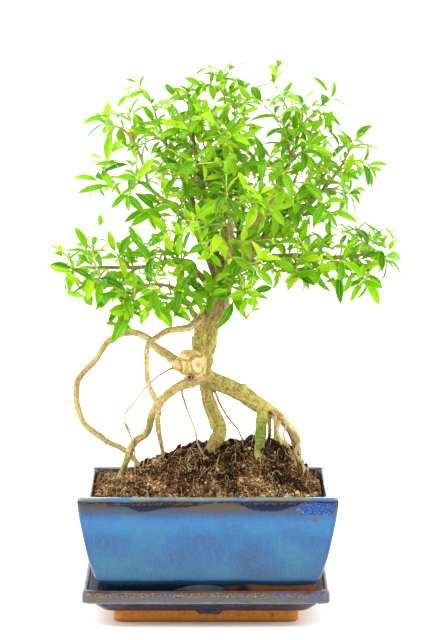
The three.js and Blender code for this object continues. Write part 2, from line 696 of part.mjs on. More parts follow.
// A leaf's own frame: its root, its direction, its upper side, and its length.
function leafFrame(twig, slot, keys, attempt) {
  const root = twig.getPoint(slot.at);
  const along = tangentAt(twig, slot.at);
  const side = sideways(along);
  const other = new THREE.Vector3().crossVectors(along, side);
  const swing = (chance(keys[0], keys[1], attempt) - 0.5) * (SWING.first + SWING.more * attempt);
  const turn = THREE.MathUtils.degToRad(keys[0] * SPRAY_TURN + slot.turn + swing);
  const wider = (chance(keys[0], keys[1] + 40, attempt) - 0.5) * (WIDER.first + WIDER.more * attempt);
  const open = THREE.MathUtils.degToRad(slot.open + wider);
  const out = side.multiplyScalar(Math.cos(turn)).addScaledVector(other, Math.sin(turn));
  const direction = along.clone().multiplyScalar(Math.cos(open)).addScaledVector(out, Math.sin(open));
  const upper = along.clone().multiplyScalar(UPPER_ALONG);
  upper.z += UPPER_UP;
  upper.addScaledVector(direction, -upper.dot(direction)).normalize();
  const size = slot.size * (LEAF_LEAST + LEAF_VARIES * chance(keys[0], keys[1] + 80, 3));
  return { root, direction, upper, length: LEAF_LENGTH * size, width: LEAF_WIDTH * size };
}

// A point of the blade: along it from 0 to 1, across it from -1 to 1, and above its middle surface.
function bladePoint(frame, along, across, above) {
  const halfWidth = (frame.width / 2) * bladeWidth(along);
  const right = new THREE.Vector3().crossVectors(frame.upper, frame.direction);
  const sink = -LEAF_ARCH * frame.length * along * along;
  const lift = sink + LEAF_FOLD * frame.width * Math.abs(across) * bladeWidth(along) + above;
  return frame.root
    .clone()
    .addScaledVector(frame.direction, frame.length * along)
    .addScaledVector(right, halfWidth * across)
    .addScaledVector(frame.upper, lift);
}

// The outline of the blade: none at the root and tip, and full a little past the middle.
function bladeWidth(along) {
  return Math.pow(Math.sin(Math.PI * Math.pow(along, 0.85)), 0.8);
}

// A blade of three long faces: flat above, with the midrib as a keel below.
function leafSolid(frame) {
  const rings = LEAF_STATIONS.map((along) => [
    bladePoint(frame, along, 1, 0),
    bladePoint(frame, along, -1, 0),
    bladePoint(frame, along, 0, -LEAF_THICKNESS),
  ]);
  const ends = [bladePoint(frame, 0, 0, 0), bladePoint(frame, 1, 0, 0)];
  const places = [ends[0], ...rings.flat(), ends[1]].flatMap((p) => [p.x, p.y, p.z]);
  const tip = 1 + rings.length * 3;
  const faces = [];
  for (let i = 0; i < 3; i++) {
    const next = (i + 1) % 3;
    faces.push(0, 1 + next, 1 + i);
    for (let ring = 0; ring + 1 < rings.length; ring++) {
      const [a, b] = [1 + ring * 3 + i, 1 + ring * 3 + next];
      faces.push(a, b, b + 3, a, b + 3, a + 3);
    }
    faces.push(tip, tip - 3 + i, tip - 3 + next);
  }
  const geometry = new THREE.BufferGeometry();
  geometry.setAttribute("position", new THREE.Float32BufferAttribute(places, 3));
  geometry.setIndex(faces);
  return solidOf(geometry);
}

function bladeSamples(frame) {
  const samples = [];
  for (const along of BLADE_CHECKS) {
    for (const across of along < BLADE_NARROWS ? [-BLADE_EDGE, 0, BLADE_EDGE] : [0]) {
      samples.push({ place: bladePoint(frame, along, across, 0), room: LEAF_ROOM });
    }
  }
  return samples;
}

// Points along a limb or twig with the room that leaves keep from each, but for the twig's own.
function curveSamples(curve, radiusAt, spray) {
  const count = Math.ceil(curve.getLength() / CHECK_EVERY);
  const samples = [];
  for (let i = 0; i <= count; i++) {
    const t = i / count;
    samples.push({ place: curve.getPoint(t), room: radiusAt(t) + TWIG_ROOM, spray });
  }
  return samples;
}

function isClear(samples, taken, spray) {
  return taken.every((other) => other.spray === spray || samples.every((sample) => isApart(sample, other)));
}

function isApart(a, b) {
  const room = a.room + b.room;
  return a.place.distanceToSquared(b.place) >= room * room;
}

// Each spray with its twigs, and the leaves that find room among the others.
function growSprays() {
  const taken = [...Object.values(LIMBS), ...Object.values(ROOTS)].flatMap((limb) =>
    curveSamples(routeCurve(limb.route), (t) => spread(limb.radii, t)),
  );
  const sprays = SPRAYS.map((spray, index) => ({ index, twigs: sprayTwigs(spray), leaves: [] }));
  for (const spray of sprays) {
    for (const twig of spray.twigs) taken.push(...curveSamples(twig, twigRadius, spray.index));
  }
  for (const spray of sprays) {
    spray.twigs.forEach((twig, twigIndex) => {
      const slots = leafSlots(twigIndex, chordLength(twig));
      slots.forEach((slot, slotIndex) => {
        const keys = [spray.index, twigIndex * 10 + slotIndex];
        for (let attempt = 0; attempt < LEAF_TRIES; attempt++) {
          const frame = leafFrame(twig, slot, keys, attempt);
          const samples = bladeSamples(frame);
          if (!isClear(samples, taken, spray.index)) continue;
          taken.push(...samples);
          spray.leaves.push(frame);
          break;
        }
      });
    });
  }
  return sprays;
}

// A spray's twigs and leaves as one body, seated on the limb that carries it.
function spraySolid(spray, limbRoom) {
  const grown = fuse([...spray.twigs.map(twigSolid), ...spray.leaves.map(leafSolid)]);
  return largestOf(grown.simplify(FINEST_LEAF).subtract(limbRoom).simplify(FINEST_CUT));
}

function woodSolid() {
  const limbs = [...Object.values(LIMBS), ...Object.values(ROOTS)].map((limb) => limbSolid(limb));
  const cut = new THREE.LineCurve3(vector(STUB_CUT.from), vector(STUB_CUT.to));
  const cutSolid = solidOf(skin(tubeRings(cut, () => STUB_CUT.radius, STUB_CUT.sides, 1)));
  return fuse([...limbs, ...LUMPS.map(lumpSolid), cutSolid]).simplify(FINEST_LIMB);
}

// Assembly

function piece(name, geometry, colour, roughness) {
  const material = new THREE.MeshStandardMaterial({ color: colour, roughness, metalness: 0 });
  const mesh = new THREE.Mesh(geometry, material);
  mesh.name = name;
  return mesh;
}

const bonsai = new THREE.Group();
bonsai.add(piece("drip_tray", trayGeometry(), COLOURS.trayGlaze, 0.25));
bonsai.add(piece("pot", geometryOf(potSolid()), COLOURS.glaze, 0.2));
bonsai.add(piece("soil", geometryOf(soilSolid()), COLOURS.soil, 0.95));
bonsai.add(piece("trunk_branches_and_roots", geometryOf(woodSolid()), COLOURS.bark, 0.85));
const limbRoom = fuse([...Object.values(LIMBS), ROOTS.aerial].map((limb) => limbSolid(limb, GAP)));
for (const spray of growSprays()) {
  const number = String(spray.index + 1).padStart(2, "0");
  bonsai.add(piece(`leafy_spray_${number}`, geometryOf(spraySolid(spray, limbRoom)), COLOURS.leaf, 0.5));
}

export default bonsai;
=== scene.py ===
"""A serissa bonsai on exposed roots, in its glazed pot on a drip tray, dressed around its frame.

Sizes are millimetres unless a name or comment says otherwise, and MM turns them into metres.
The origin lies under the middle of the pot, on the surface that the tray stands on.
+Z is up, +X is to the viewer's right, and the viewer looks along +Y.
"""

import json
import logging
import math
from dataclasses import dataclass, field
from enum import Enum
from typing import Sequence

import bmesh
import bpy
import numpy as np
from bpy.types import Material, Mesh, Node, NodeSocket, NodeTree
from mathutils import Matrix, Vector
from mathutils.bvhtree import BVHTree

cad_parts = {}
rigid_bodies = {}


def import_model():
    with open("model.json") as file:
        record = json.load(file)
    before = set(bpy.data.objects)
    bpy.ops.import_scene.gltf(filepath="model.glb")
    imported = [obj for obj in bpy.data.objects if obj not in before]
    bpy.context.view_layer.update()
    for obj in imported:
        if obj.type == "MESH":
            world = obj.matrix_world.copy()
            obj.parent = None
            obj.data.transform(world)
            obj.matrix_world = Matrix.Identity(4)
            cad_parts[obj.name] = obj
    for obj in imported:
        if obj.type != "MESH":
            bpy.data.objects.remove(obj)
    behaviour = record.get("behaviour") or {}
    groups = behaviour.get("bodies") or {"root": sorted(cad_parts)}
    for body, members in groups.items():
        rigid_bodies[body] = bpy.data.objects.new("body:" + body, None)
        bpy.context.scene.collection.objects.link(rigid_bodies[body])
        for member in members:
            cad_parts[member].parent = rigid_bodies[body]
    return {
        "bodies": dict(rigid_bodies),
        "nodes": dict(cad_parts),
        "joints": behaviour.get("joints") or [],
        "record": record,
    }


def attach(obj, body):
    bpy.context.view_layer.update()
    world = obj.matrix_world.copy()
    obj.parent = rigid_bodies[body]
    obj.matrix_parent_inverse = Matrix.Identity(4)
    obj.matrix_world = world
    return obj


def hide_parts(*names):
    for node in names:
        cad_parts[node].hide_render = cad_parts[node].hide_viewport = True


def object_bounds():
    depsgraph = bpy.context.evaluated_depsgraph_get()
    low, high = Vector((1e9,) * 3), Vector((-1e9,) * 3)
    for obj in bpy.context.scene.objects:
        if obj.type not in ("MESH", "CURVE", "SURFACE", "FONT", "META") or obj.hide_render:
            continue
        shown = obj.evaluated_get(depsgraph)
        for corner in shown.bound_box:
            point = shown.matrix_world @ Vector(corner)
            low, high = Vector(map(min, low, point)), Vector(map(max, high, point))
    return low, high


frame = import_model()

CAD_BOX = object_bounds()
MM = 0.001
BODY = "root"
UP = np.array([0, 0, 1.0])
log = logging.getLogger("bonsai")

Point = np.ndarray
Points = np.ndarray
Thing = bpy.types.Object
Shell = tuple[Points, list]


# Numbers and curves


def chance(a: int, b: int, c: int) -> float:
    """Gives an even number from 0 to 1 for three whole numbers, the same each time.

    Args:
        a, b, c: The whole numbers that name the draw.

    Returns:
        The number.
    """
    whole = 0xFFFFFFFF
    h = ((a + 1) * 374761393 & whole) ^ ((b + 1) * 668265263 & whole) ^ ((c + 1) * 1274126177 & whole)
    h = (h ^ (h >> 15)) * 2246822519 & whole
    h = (h ^ (h >> 13)) * 3266489917 & whole
    return (h ^ (h >> 16)) / 4294967296


def between(low: float, high: float, share: float) -> float:
    """Gives the value at a share of the way from low to high."""
    return low + (high - low) * share


def drawn(low: float, high: float, *key: int) -> float:
    """Gives a number from low to high, drawn by the three whole numbers of its key."""
    return between(low, high, chance(*key))


def sway(reach: float, *key: int) -> float:
    """Gives a number within half the reach of 0, drawn by the three whole numbers of its key."""
    return (chance(*key) - 0.5) * reach


def smooth(low: float, high: float, value: float | Points) -> float | Points:
    """Gives 0 below low, 1 above high and an eased value between them."""
    t = np.clip((value - low) / (high - low), 0.0, 1.0)
    return t * t * (3 - 2 * t)


def unit(v: Point) -> Point:
    """Gives the direction of v, with length 1."""
    return v / np.linalg.norm(v)


def sideways(direction: Point) -> Point:
    """Gives a direction square to the given one, level where that can be."""
    return unit(np.cross(direction, np.array([1.0, 0, 0]) if abs(direction[2]) > 0.95 else UP))


def spread(values: Sequence[float], t: float) -> float:
    """Gives a value between listed ones that are spread evenly from 0 to 1.

    Args:
        values: The listed values.
        t: The place from 0 to 1.

    Returns:
        The value there.
    """
    place = t * (len(values) - 1)
    left = min(int(place), len(values) - 2)
    return between(values[left], values[left + 1], place - left)


class Curve:
    """A curve in space that is followed from 0 to 1."""

    MEASURES = 200

    def at(self, t: float) -> Point:
        """Gives the point at t."""
        raise NotImplementedError

    def tangent(self, t: float) -> Point:
        """Gives the direction of the curve at t."""
        return unit(self.at(min(t + 0.01, 1)) - self.at(max(t - 0.01, 0)))

    def length(self) -> float:
        """Gives the curve's length."""
        points = np.array([self.at(i / self.MEASURES) for i in range(self.MEASURES + 1)])
        return float(np.linalg.norm(np.diff(points, axis=0), axis=1).sum())

    def frames(self, count: int) -> list[tuple[float, Point, Point]]:
        """Gives steps along the curve, each with two directions square to it that don't twist.

        Args:
            count: How many steps there are after the first.

        Returns:
            The share of the way and both directions, for each step.
        """
        side = sideways(self.tangent(0))
        steps = []
        for i in range(count + 1):
            along = self.tangent(i / count)
            side = unit(side - along * float(side @ along))
            steps.append((i / count, side, np.cross(along, side)))
        return steps


class Route(Curve):
    """A smooth curve through given points."""

    def __init__(self, points: Sequence[Sequence[float]]) -> None:
        """Keeps the points and one more before the first and after the last."""
        p = np.array(points, dtype=float)
        self.points = np.vstack([2 * p[0] - p[1], p, 2 * p[-1] - p[-2]])

    def at(self, t: float) -> Point:
        """Gives the point at t.

        Args:
            t: The place along the route, from 0 to 1.

        Returns:
            The point.
        """
        place = t * (len(self.points) - 3)
        left = min(int(place), len(self.points) - 4)
        w = place - left
        before, start, end, after = self.points[left : left + 4]
        leave = 0.5 * (end - before)
        arrive = 0.5 * (after - start)
        bend = -3 * start + 3 * end - 2 * leave - arrive
        return start + leave * w + bend * w * w + (2 * start - 2 * end + leave + arrive) * w**3


class Bow(Curve):
    """A simple bow from a start to an end, drawn towards a bend."""

    def __init__(self, start: Point, bend: Point, end: Point) -> None:
        """Keeps the three points."""
        self.start, self.bend, self.end = start, bend, end

    def at(self, t: float) -> Point:
        """Gives the point at t."""
        return (1 - t) ** 2 * self.start + 2 * (1 - t) * t * self.bend + t * t * self.end


# Meshes


def new_object(name: str, data: bpy.types.ID) -> Thing:
    """Puts a mesh in metres, a lamp or a camera in the scene as an object at the origin.

    Args:
        name: The object's name.
        data: Its mesh, lamp or camera.

    Returns:
        The object.
    """
    thing = bpy.data.objects.new(name, data)
    bpy.context.scene.collection.objects.link(thing)
    return thing


def mesh_of(name: str, places: Points, faces: Sequence = (), edges: Sequence = ()) -> Mesh:
    """Makes a mesh of millimetre points.

    Args:
        name: The mesh's name.
        places: Its points in millimetres.
        faces: The faces' point numbers, anticlockwise from outside.
        edges: Loose edges, for what has no faces.

    Returns:
        The mesh, in metres.
    """
    mesh = bpy.data.meshes.new(name)
    mesh.from_pydata((np.asarray(places) * MM).tolist(), list(edges), [tuple(f) for f in faces])
    mesh.update()
    return mesh


def store(mesh: Mesh, **columns: Points) -> None:
    """Stores values on a mesh's points.

    Args:
        mesh: The mesh to hold them.
        columns: One number, truth value or row of three a point, under the attribute's name.
    """
    for name, values in columns.items():
        values = np.asarray(values)
        kind = "BOOLEAN" if values.dtype == bool else "FLOAT_VECTOR" if values.ndim == 2 else "FLOAT"
        attribute = mesh.attributes.new(name, kind, "POINT")
        attribute.data.foreach_set("vector" if values.ndim == 2 else "value", values.ravel())


def settle(thing: Thing) -> Thing:
    """Turns an object's live modifiers into a plain mesh and removes them.

    Args:
        thing: The object.

    Returns:
        The same object with its new mesh.
    """
    graph = bpy.context.evaluated_depsgraph_get()
    live = thing.evaluated_get(graph)
    mesh = bpy.data.meshes.new_from_object(live, preserve_all_data_layers=True, depsgraph=graph)
    thing.modifiers.clear()
    old = thing.data
    thing.data = mesh
    mesh.name = old.name
    bpy.data.meshes.remove(old)
    return thing


def shade(mesh: Mesh, sharp_degrees: float) -> None:
    """Shades a mesh smooth, but for edges that turn sharply.

    Args:
        mesh: The mesh.
        sharp_degrees: The angle from which an edge is sharp.
    """
    shell = bmesh.new()
    shell.from_mesh(mesh)
    for face in shell.faces:
        face.smooth = True
    for edge in shell.edges:
        edge.smooth = edge.calc_face_angle(0.0) < math.radians(sharp_degrees)
    shell.to_mesh(mesh)
    shell.free()


def rounded_ring(half_width: float, half_depth: float, z: float, corner: float, sides: int) -> list:
    """Gives the outline of a rounded rectangle with points along its sides too.

    Args:
        half_width, half_depth: Half sizes along X and Y.
        z: The height of the ring.
        corner: The corners' radius.
        sides: Steps along each side.

    Returns:
        The points, anticlockwise from above.
    """
    corner_steps = 9
    turns = []
    for quarter in range(4):
        sign_x = 1 if quarter in (0, 3) else -1
        sign_y = 1 if quarter < 2 else -1
        for i in range(corner_steps + 1):
            angle = (quarter + i / corner_steps) * math.pi / 2
            x = sign_x * (half_width - corner) + corner * math.cos(angle)
            turns.append((x, sign_y * (half_depth - corner) + corner * math.sin(angle), z))
    points = []
    for i, here in enumerate(turns):
        points.append(here)
        if (i + 1) % (corner_steps + 1) == 0:
            there = turns[(i + 1) % len(turns)]
            points += [tuple(between(a, b, s / sides) for a, b in zip(here, there)) for s in range(1, sides)]
    return points


def skin(rings: Sequence[Sequence[Point]]) -> Shell:
    """Joins rings of points into a closed skin.

    Args:
        rings: Rings with equal counts, anticlockwise as seen from the last one.

    Returns:
        The points and the faces.
    """
    count = len(rings[0])
    faces = []
    for base in range(0, (len(rings) - 1) * count, count):
        for i in range(count):
            a, b = base + i, base + (i + 1) % count
            faces.append((a, b, b + count, a + count))
    last = (len(rings) - 1) * count
    faces += [tuple(range(count))[::-1], tuple(range(last, last + count))]
    return np.array([p for ring in rings for p in ring], dtype=float), faces


def circle(count: int) -> list[tuple[float, float]]:
    """Gives the cosine and the sine of even turns round a circle."""
    return [(math.cos(i * math.tau / count), math.sin(i * math.tau / count)) for i in range(count)]


def chained(lines: Sequence[list]) -> tuple[list, list]:
    """Puts lines of points in one list, with the edges that join each line's points.

    Args:
        lines: The points of each line.

    Returns:
        The points and the edges.
    """
    points, edges = [], []
    for line in lines:
        edges += [(i, i + 1) for i in range(len(points), len(points) + len(line) - 1)]
        points += line
    return points, edges


def merged(shells: Sequence[Shell]) -> Shell:
    """Puts shells together in one list of points and one of faces.

    Args:
        shells: The points and the faces of each.

    Returns:
        The points and the faces of all.
    """
    places, faces = [], []
    for some, their_faces in shells:
        faces += [tuple(len(places) + i for i in face) for face in their_faces]
        places.extend(some)
    return np.array(places), faces


def filleted(profile: Sequence[Sequence[float]], radii: Sequence[float]) -> list:
    """Rounds the turns of a profile.

    Args:
        profile: Half width, half depth and height of each turn.
        radii: How far from each turn its rounding starts; the ends are left.

    Returns:
        The finer profile.
    """
    points = [np.array(p, dtype=float) for p in profile]
    finer = [points[0]]
    for before, here, after, radius in zip(points, points[1:], points[2:], radii[1:]):
        if radius <= 0:
            finer.append(here)
            continue
        start, end = (
            here + unit(other - here) * min(radius, np.linalg.norm(other - here) * 0.48)
            for other in (before, after)
        )
        finer += [Bow(start, here, end).at(i / 4) for i in range(5)]
    return finer + [points[-1]]


# Trees of nodes


class Value:
    """A number that a node gives, which takes plain sums."""

    def __init__(self, wiring: "Wiring", socket: NodeSocket) -> None:
        """Keeps the tree that it belongs to and its socket."""
        self.wiring, self.socket = wiring, socket

    def __add__(self, other: "Value | float") -> "Value":
        """Gives the sum."""
        return self.wiring.math("ADD", self, other)

    def __sub__(self, other: "Value | float") -> "Value":
        """Gives the difference."""
        return self.wiring.math("SUBTRACT", self, other)

    def __rsub__(self, other: float) -> "Value":
        """Gives a number less the value."""
        return self.wiring.math("SUBTRACT", other, self)

    def __mul__(self, other: "Value | float") -> "Value":
        """Gives the product."""
        return self.wiring.math("MULTIPLY", self, other)

    def __truediv__(self, other: "Value | float") -> "Value":
        """Gives the quotient."""
        return self.wiring.math("DIVIDE", self, other)

    def __abs__(self) -> "Value":
        """Gives the value without its sign."""
        return self.wiring.math("ABSOLUTE", self)


class Wiring:
    """A tree of nodes under construction, with short calls for what it needs."""

    place: Value

    def __init__(self, tree: NodeTree) -> None:
        """Keeps the tree."""
        self.tree = tree

    def node(self, kind: str, inputs: dict | None = None, **settings: object) -> Node:
        """Adds a node.

        Args:
            kind: The node's type.
            inputs: Plain values or those of other nodes for its inputs, by name or number.
            settings: The node's own settings.

        Returns:
            The node.
        """
        made = self.tree.nodes.new(kind)
        for key, value in settings.items():
            setattr(made, key, value)
        for key, value in (inputs or {}).items():
            self.feed(made.inputs[key], value)
        return made

    def give(self, kind: str, inputs: dict | None = None, output: object = 0, **settings: object) -> Value:
        """Adds a node, as node() does, and gives the value of one output, by name or number."""
        return Value(self, self.node(kind, inputs, **settings).outputs[output])

    def feed(self, socket: NodeSocket, value: object) -> None:
        """Links a socket to another node's value, or sets a plain one.

        Args:
            socket: The input to feed.
            value: The other node's value, or a plain one.
        """
        if isinstance(value, Value):
            self.tree.links.new(value.socket, socket)
        elif value is not None:
            socket.default_value = value

    def math(self, operation: str, a: object, b: object = None) -> Value:
        """Adds a sum of numbers and gives its result."""
        return self.give("ShaderNodeMath", {0: a, 1: b}, operation=operation)

    def vector(self, operation: str, a: object, b: object = None, output: str = "Vector") -> Value:
        """Adds a sum of vectors and gives its result."""
        return self.give("ShaderNodeVectorMath", {0: a, 1: b}, output, operation=operation)

    def noise(
        self,
        scale: float | tuple,
        detail: float = 3.0,
        rough: float = 0.55,
        bend: float = 0.0,
        place: Value | None = None,
    ) -> Value:
        """Gives an even noise from about 0 to 1.

        Args:
            scale: How fine it is, for all axes or for each.
            detail, rough, bend: How many finer layers it has, how strong they are and how it is bent.
            place: Where it is read, if not at the place on the object.

        Returns:
            The noise.
        """
        place = place or self.place
        if isinstance(scale, tuple):
            place, scale = self.vector("MULTIPLY", place, scale), 1.0
        inputs = {"Vector": place, "Scale": scale, "Detail": detail, "Roughness": rough, "Distortion": bend}
        return self.give("ShaderNodeTexNoise", inputs)

    def uneven(self, *settings: object, place: Value | None = None) -> Value:
        """Gives a noise round 0, with the settings of noise()."""
        return self.noise(*settings, place=place) - 0.5

    def cells(self, scale: float) -> Value:
        """Gives the distance to the nearest of many scattered points."""
        return self.give("ShaderNodeTexVoronoi", {"Vector": self.place, "Scale": scale}, "Distance")

    def fit(self, value: Value, low: float, high: float, to_low: float = 0.0, to_high: float = 1.0) -> Value:
        """Gives a value moved from one range to another, held inside it and eased."""
        inputs = {0: value, 1: low, 2: high, 3: to_low, 4: to_high}
        return self.give("ShaderNodeMapRange", inputs, interpolation_type="SMOOTHSTEP")


class Shader(Wiring):
    """A material under construction, with the colour that its coats have so far."""

    colour: Value

    def __init__(self, name: str) -> None:
        """Starts an empty material with one shader and an output.

        Args:
            name: The material's name.
        """
        self.material = bpy.data.materials.new(name)
        self.material.use_nodes = True
        super().__init__(self.material.node_tree)
        self.tree.nodes.clear()
        self.skin = self.node("ShaderNodeBsdfPrincipled")
        output = self.node("ShaderNodeOutputMaterial")
        self.tree.links.new(self.skin.outputs[0], output.inputs[0])
        self.place = self.give("ShaderNodeTexCoord", output="Object")

    def axes(self) -> list[Value]:
        """Gives the place on the object along X, Y and Z, in metres."""
        split = self.node("ShaderNodeSeparateXYZ", {0: self.place})
        return [Value(self, output) for output in split.outputs]

    def read(self, name: str, output: str = "Fac") -> Value:
        """Gives a named attribute of the mesh."""
        return self.give("ShaderNodeAttribute", output=output, attribute_name=name)

    def ramp(self, value: Value, stops: Sequence[tuple[float, tuple]]) -> Value:
        """Gives the colour for a value.

        Args:
            value: A number from 0 to 1.
            stops: Places from 0 to 1 with their colours.

        Returns:
            The colour.
        """
        made = self.node("ShaderNodeValToRGB", {0: value})
        band = made.color_ramp
        while len(band.elements) < len(stops):
            band.elements.new(0.5)
        for element, (place, colour) in zip(band.elements, stops):
            element.position = place
            element.color = (*colour, 1)
        return Value(self, made.outputs[0])

    def mix(self, share: object, a: object, b: object) -> Value:
        """Gives colour a with a share of colour b."""
        a, b = ((*c, 1) if isinstance(c, tuple) else c for c in (a, b))
        return self.give("ShaderNodeMix", {0: share, 6: a, 7: b}, 2, data_type="RGBA")

    def coat(self, share: Value, colour: object) -> None:
        """Lays a share of a colour over the coats so far."""
        self.colour = self.mix(share, self.colour, colour)

    def bump(self, height: Value, millimetres: float, below: Value | None = None) -> Value:
        """Gives the normal of a relief of the given depth, on top of another one."""
        inputs = {"Height": height, "Distance": millimetres * MM, "Strength": 1.0, "Normal": below}
        return self.give("ShaderNodeBump", inputs)

    def done(self, **skin: object) -> Material:
        """Sets the shader's own sockets, and its colour to that of the coats.

        Args:
            skin: Plain values or those of nodes, by socket name with _ for spaces.

        Returns:
            The material.
        """
        for key, value in (skin | {"Base_Color": self.colour}).items():
            self.feed(self.skin.inputs[key.replace("_", " ")], value)
        return self.material


class Growth(Wiring):
    """A tree of geometry nodes under construction, with named inputs."""

    def __init__(self, name: str, **inputs: str) -> None:
        """Starts a tree.

        Args:
            name: The tree's name.
            inputs: The kind of each named input, after the shape itself.
        """
        super().__init__(bpy.data.node_groups.new(name, "GeometryNodeTree"))
        face = self.tree.interface
        for label, kind in {"Shape": "Geometry", **inputs}.items():
            face.new_socket(label, in_out="INPUT", socket_type=f"NodeSocket{kind}")
        face.new_socket("Shape", in_out="OUTPUT", socket_type="NodeSocketGeometry")
        outputs = self.node("NodeGroupInput").outputs
        self.inputs = {label: Value(self, outputs[label]) for label in ("Shape", *inputs)}
        self.shape = self.inputs["Shape"]
        self.place = self.give("GeometryNodeInputPosition")

    def named(self, name: str, kind: str = "FLOAT") -> Value:
        """Gives a named attribute of the shape."""
        return self.give("GeometryNodeInputNamedAttribute", {"Name": name}, data_type=kind)

    def change(self, kind: str, **inputs: object) -> None:
        """Puts the shape through a node that changes it."""
        self.shape = self.give(f"GeometryNode{kind}", {"Geometry": self.shape, **inputs})

    def scaled(self, vector: Value, scale: Value) -> Value:
        """Gives a vector times a number."""
        return self.give("ShaderNodeVectorMath", {0: vector, "Scale": scale}, operation="SCALE")

    def tubes(self, radius: Value) -> None:
        """Turns the loose edges of the shape into round closed tubes, with the input Sides.

        Args:
            radius: Their radius at each point, in metres.
        """
        lines = self.give("GeometryNodeMeshToCurve", {"Mesh": self.shape})
        lines = self.give("GeometryNodeSetCurveRadius", {"Curve": lines, "Radius": radius})
        circle = {"Resolution": self.inputs["Sides"], "Radius": 1.0}
        ring = self.give("GeometryNodeCurvePrimitiveCircle", circle)
        inputs = {"Curve": lines, "Profile Curve": ring, "Fill Caps": True}
        made = self.node("GeometryNodeCurveToMesh", inputs)
        if "Scale" in made.inputs:
            self.feed(made.inputs["Scale"], radius)
        self.shape = Value(self, made.outputs[0])
        self.change("SetShadeSmooth")

    def close(self, finish: str | None = "Finish") -> NodeTree:
        """Ends the tree with the shape made real and given the material of the named input.

        Args:
            finish: The input's name, or None where the shape has its materials.

        Returns:
            The tree.
        """
        self.change("RealizeInstances")
        if finish:
            self.change("SetMaterial", Material=self.inputs[finish])
        self.node("NodeGroupOutput", {0: self.shape})
        return self.tree


def grow(host: Thing, tree: NodeTree, **settings: object) -> Thing:
    """Runs a tree of geometry nodes on an object and keeps the result as a plain mesh.

    Args:
        host: The object whose mesh goes in.
        tree: The tree.
        settings: Values for the tree's named inputs.

    Returns:
        The same object with the new mesh.
    """
    modifier = host.modifiers.new(tree.name, "NODES")
    modifier.node_group = tree
    for item in tree.interface.items_tree:
        if item.in_out == "INPUT" and item.name in settings:
            modifier[item.identifier] = settings[item.name]
    return settle(host)


def hand_in(thing: Thing, nodes: Sequence[str] = ()) -> Thing:
    """Gives a finished piece its body, hides the nodes of the frame that it stands for, and logs it.

    Args:
        thing: The piece.
        nodes: The nodes of the frame that it replaces.

    Returns:
        The piece.
    """
    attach(thing, BODY)
    if nodes:
        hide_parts(*nodes)
    thing.data.calc_loop_triangles()
    log.info("%s: %d triangles", thing.name, len(thing.data.loop_triangles))
    return thing


# Finishes


class Finish:
    """What a surface looks like; each kind builds its material once."""

    _made: dict = {}

    def material(self) -> Material:
        """Gives the finish's material, built at its first use.

        Returns:
            The material.
        """
        if self not in Finish._made:
            Finish._made[self] = self.build()
        return Finish._made[self]

    def build(self) -> Material:
        """Builds the material."""
        raise NotImplementedError


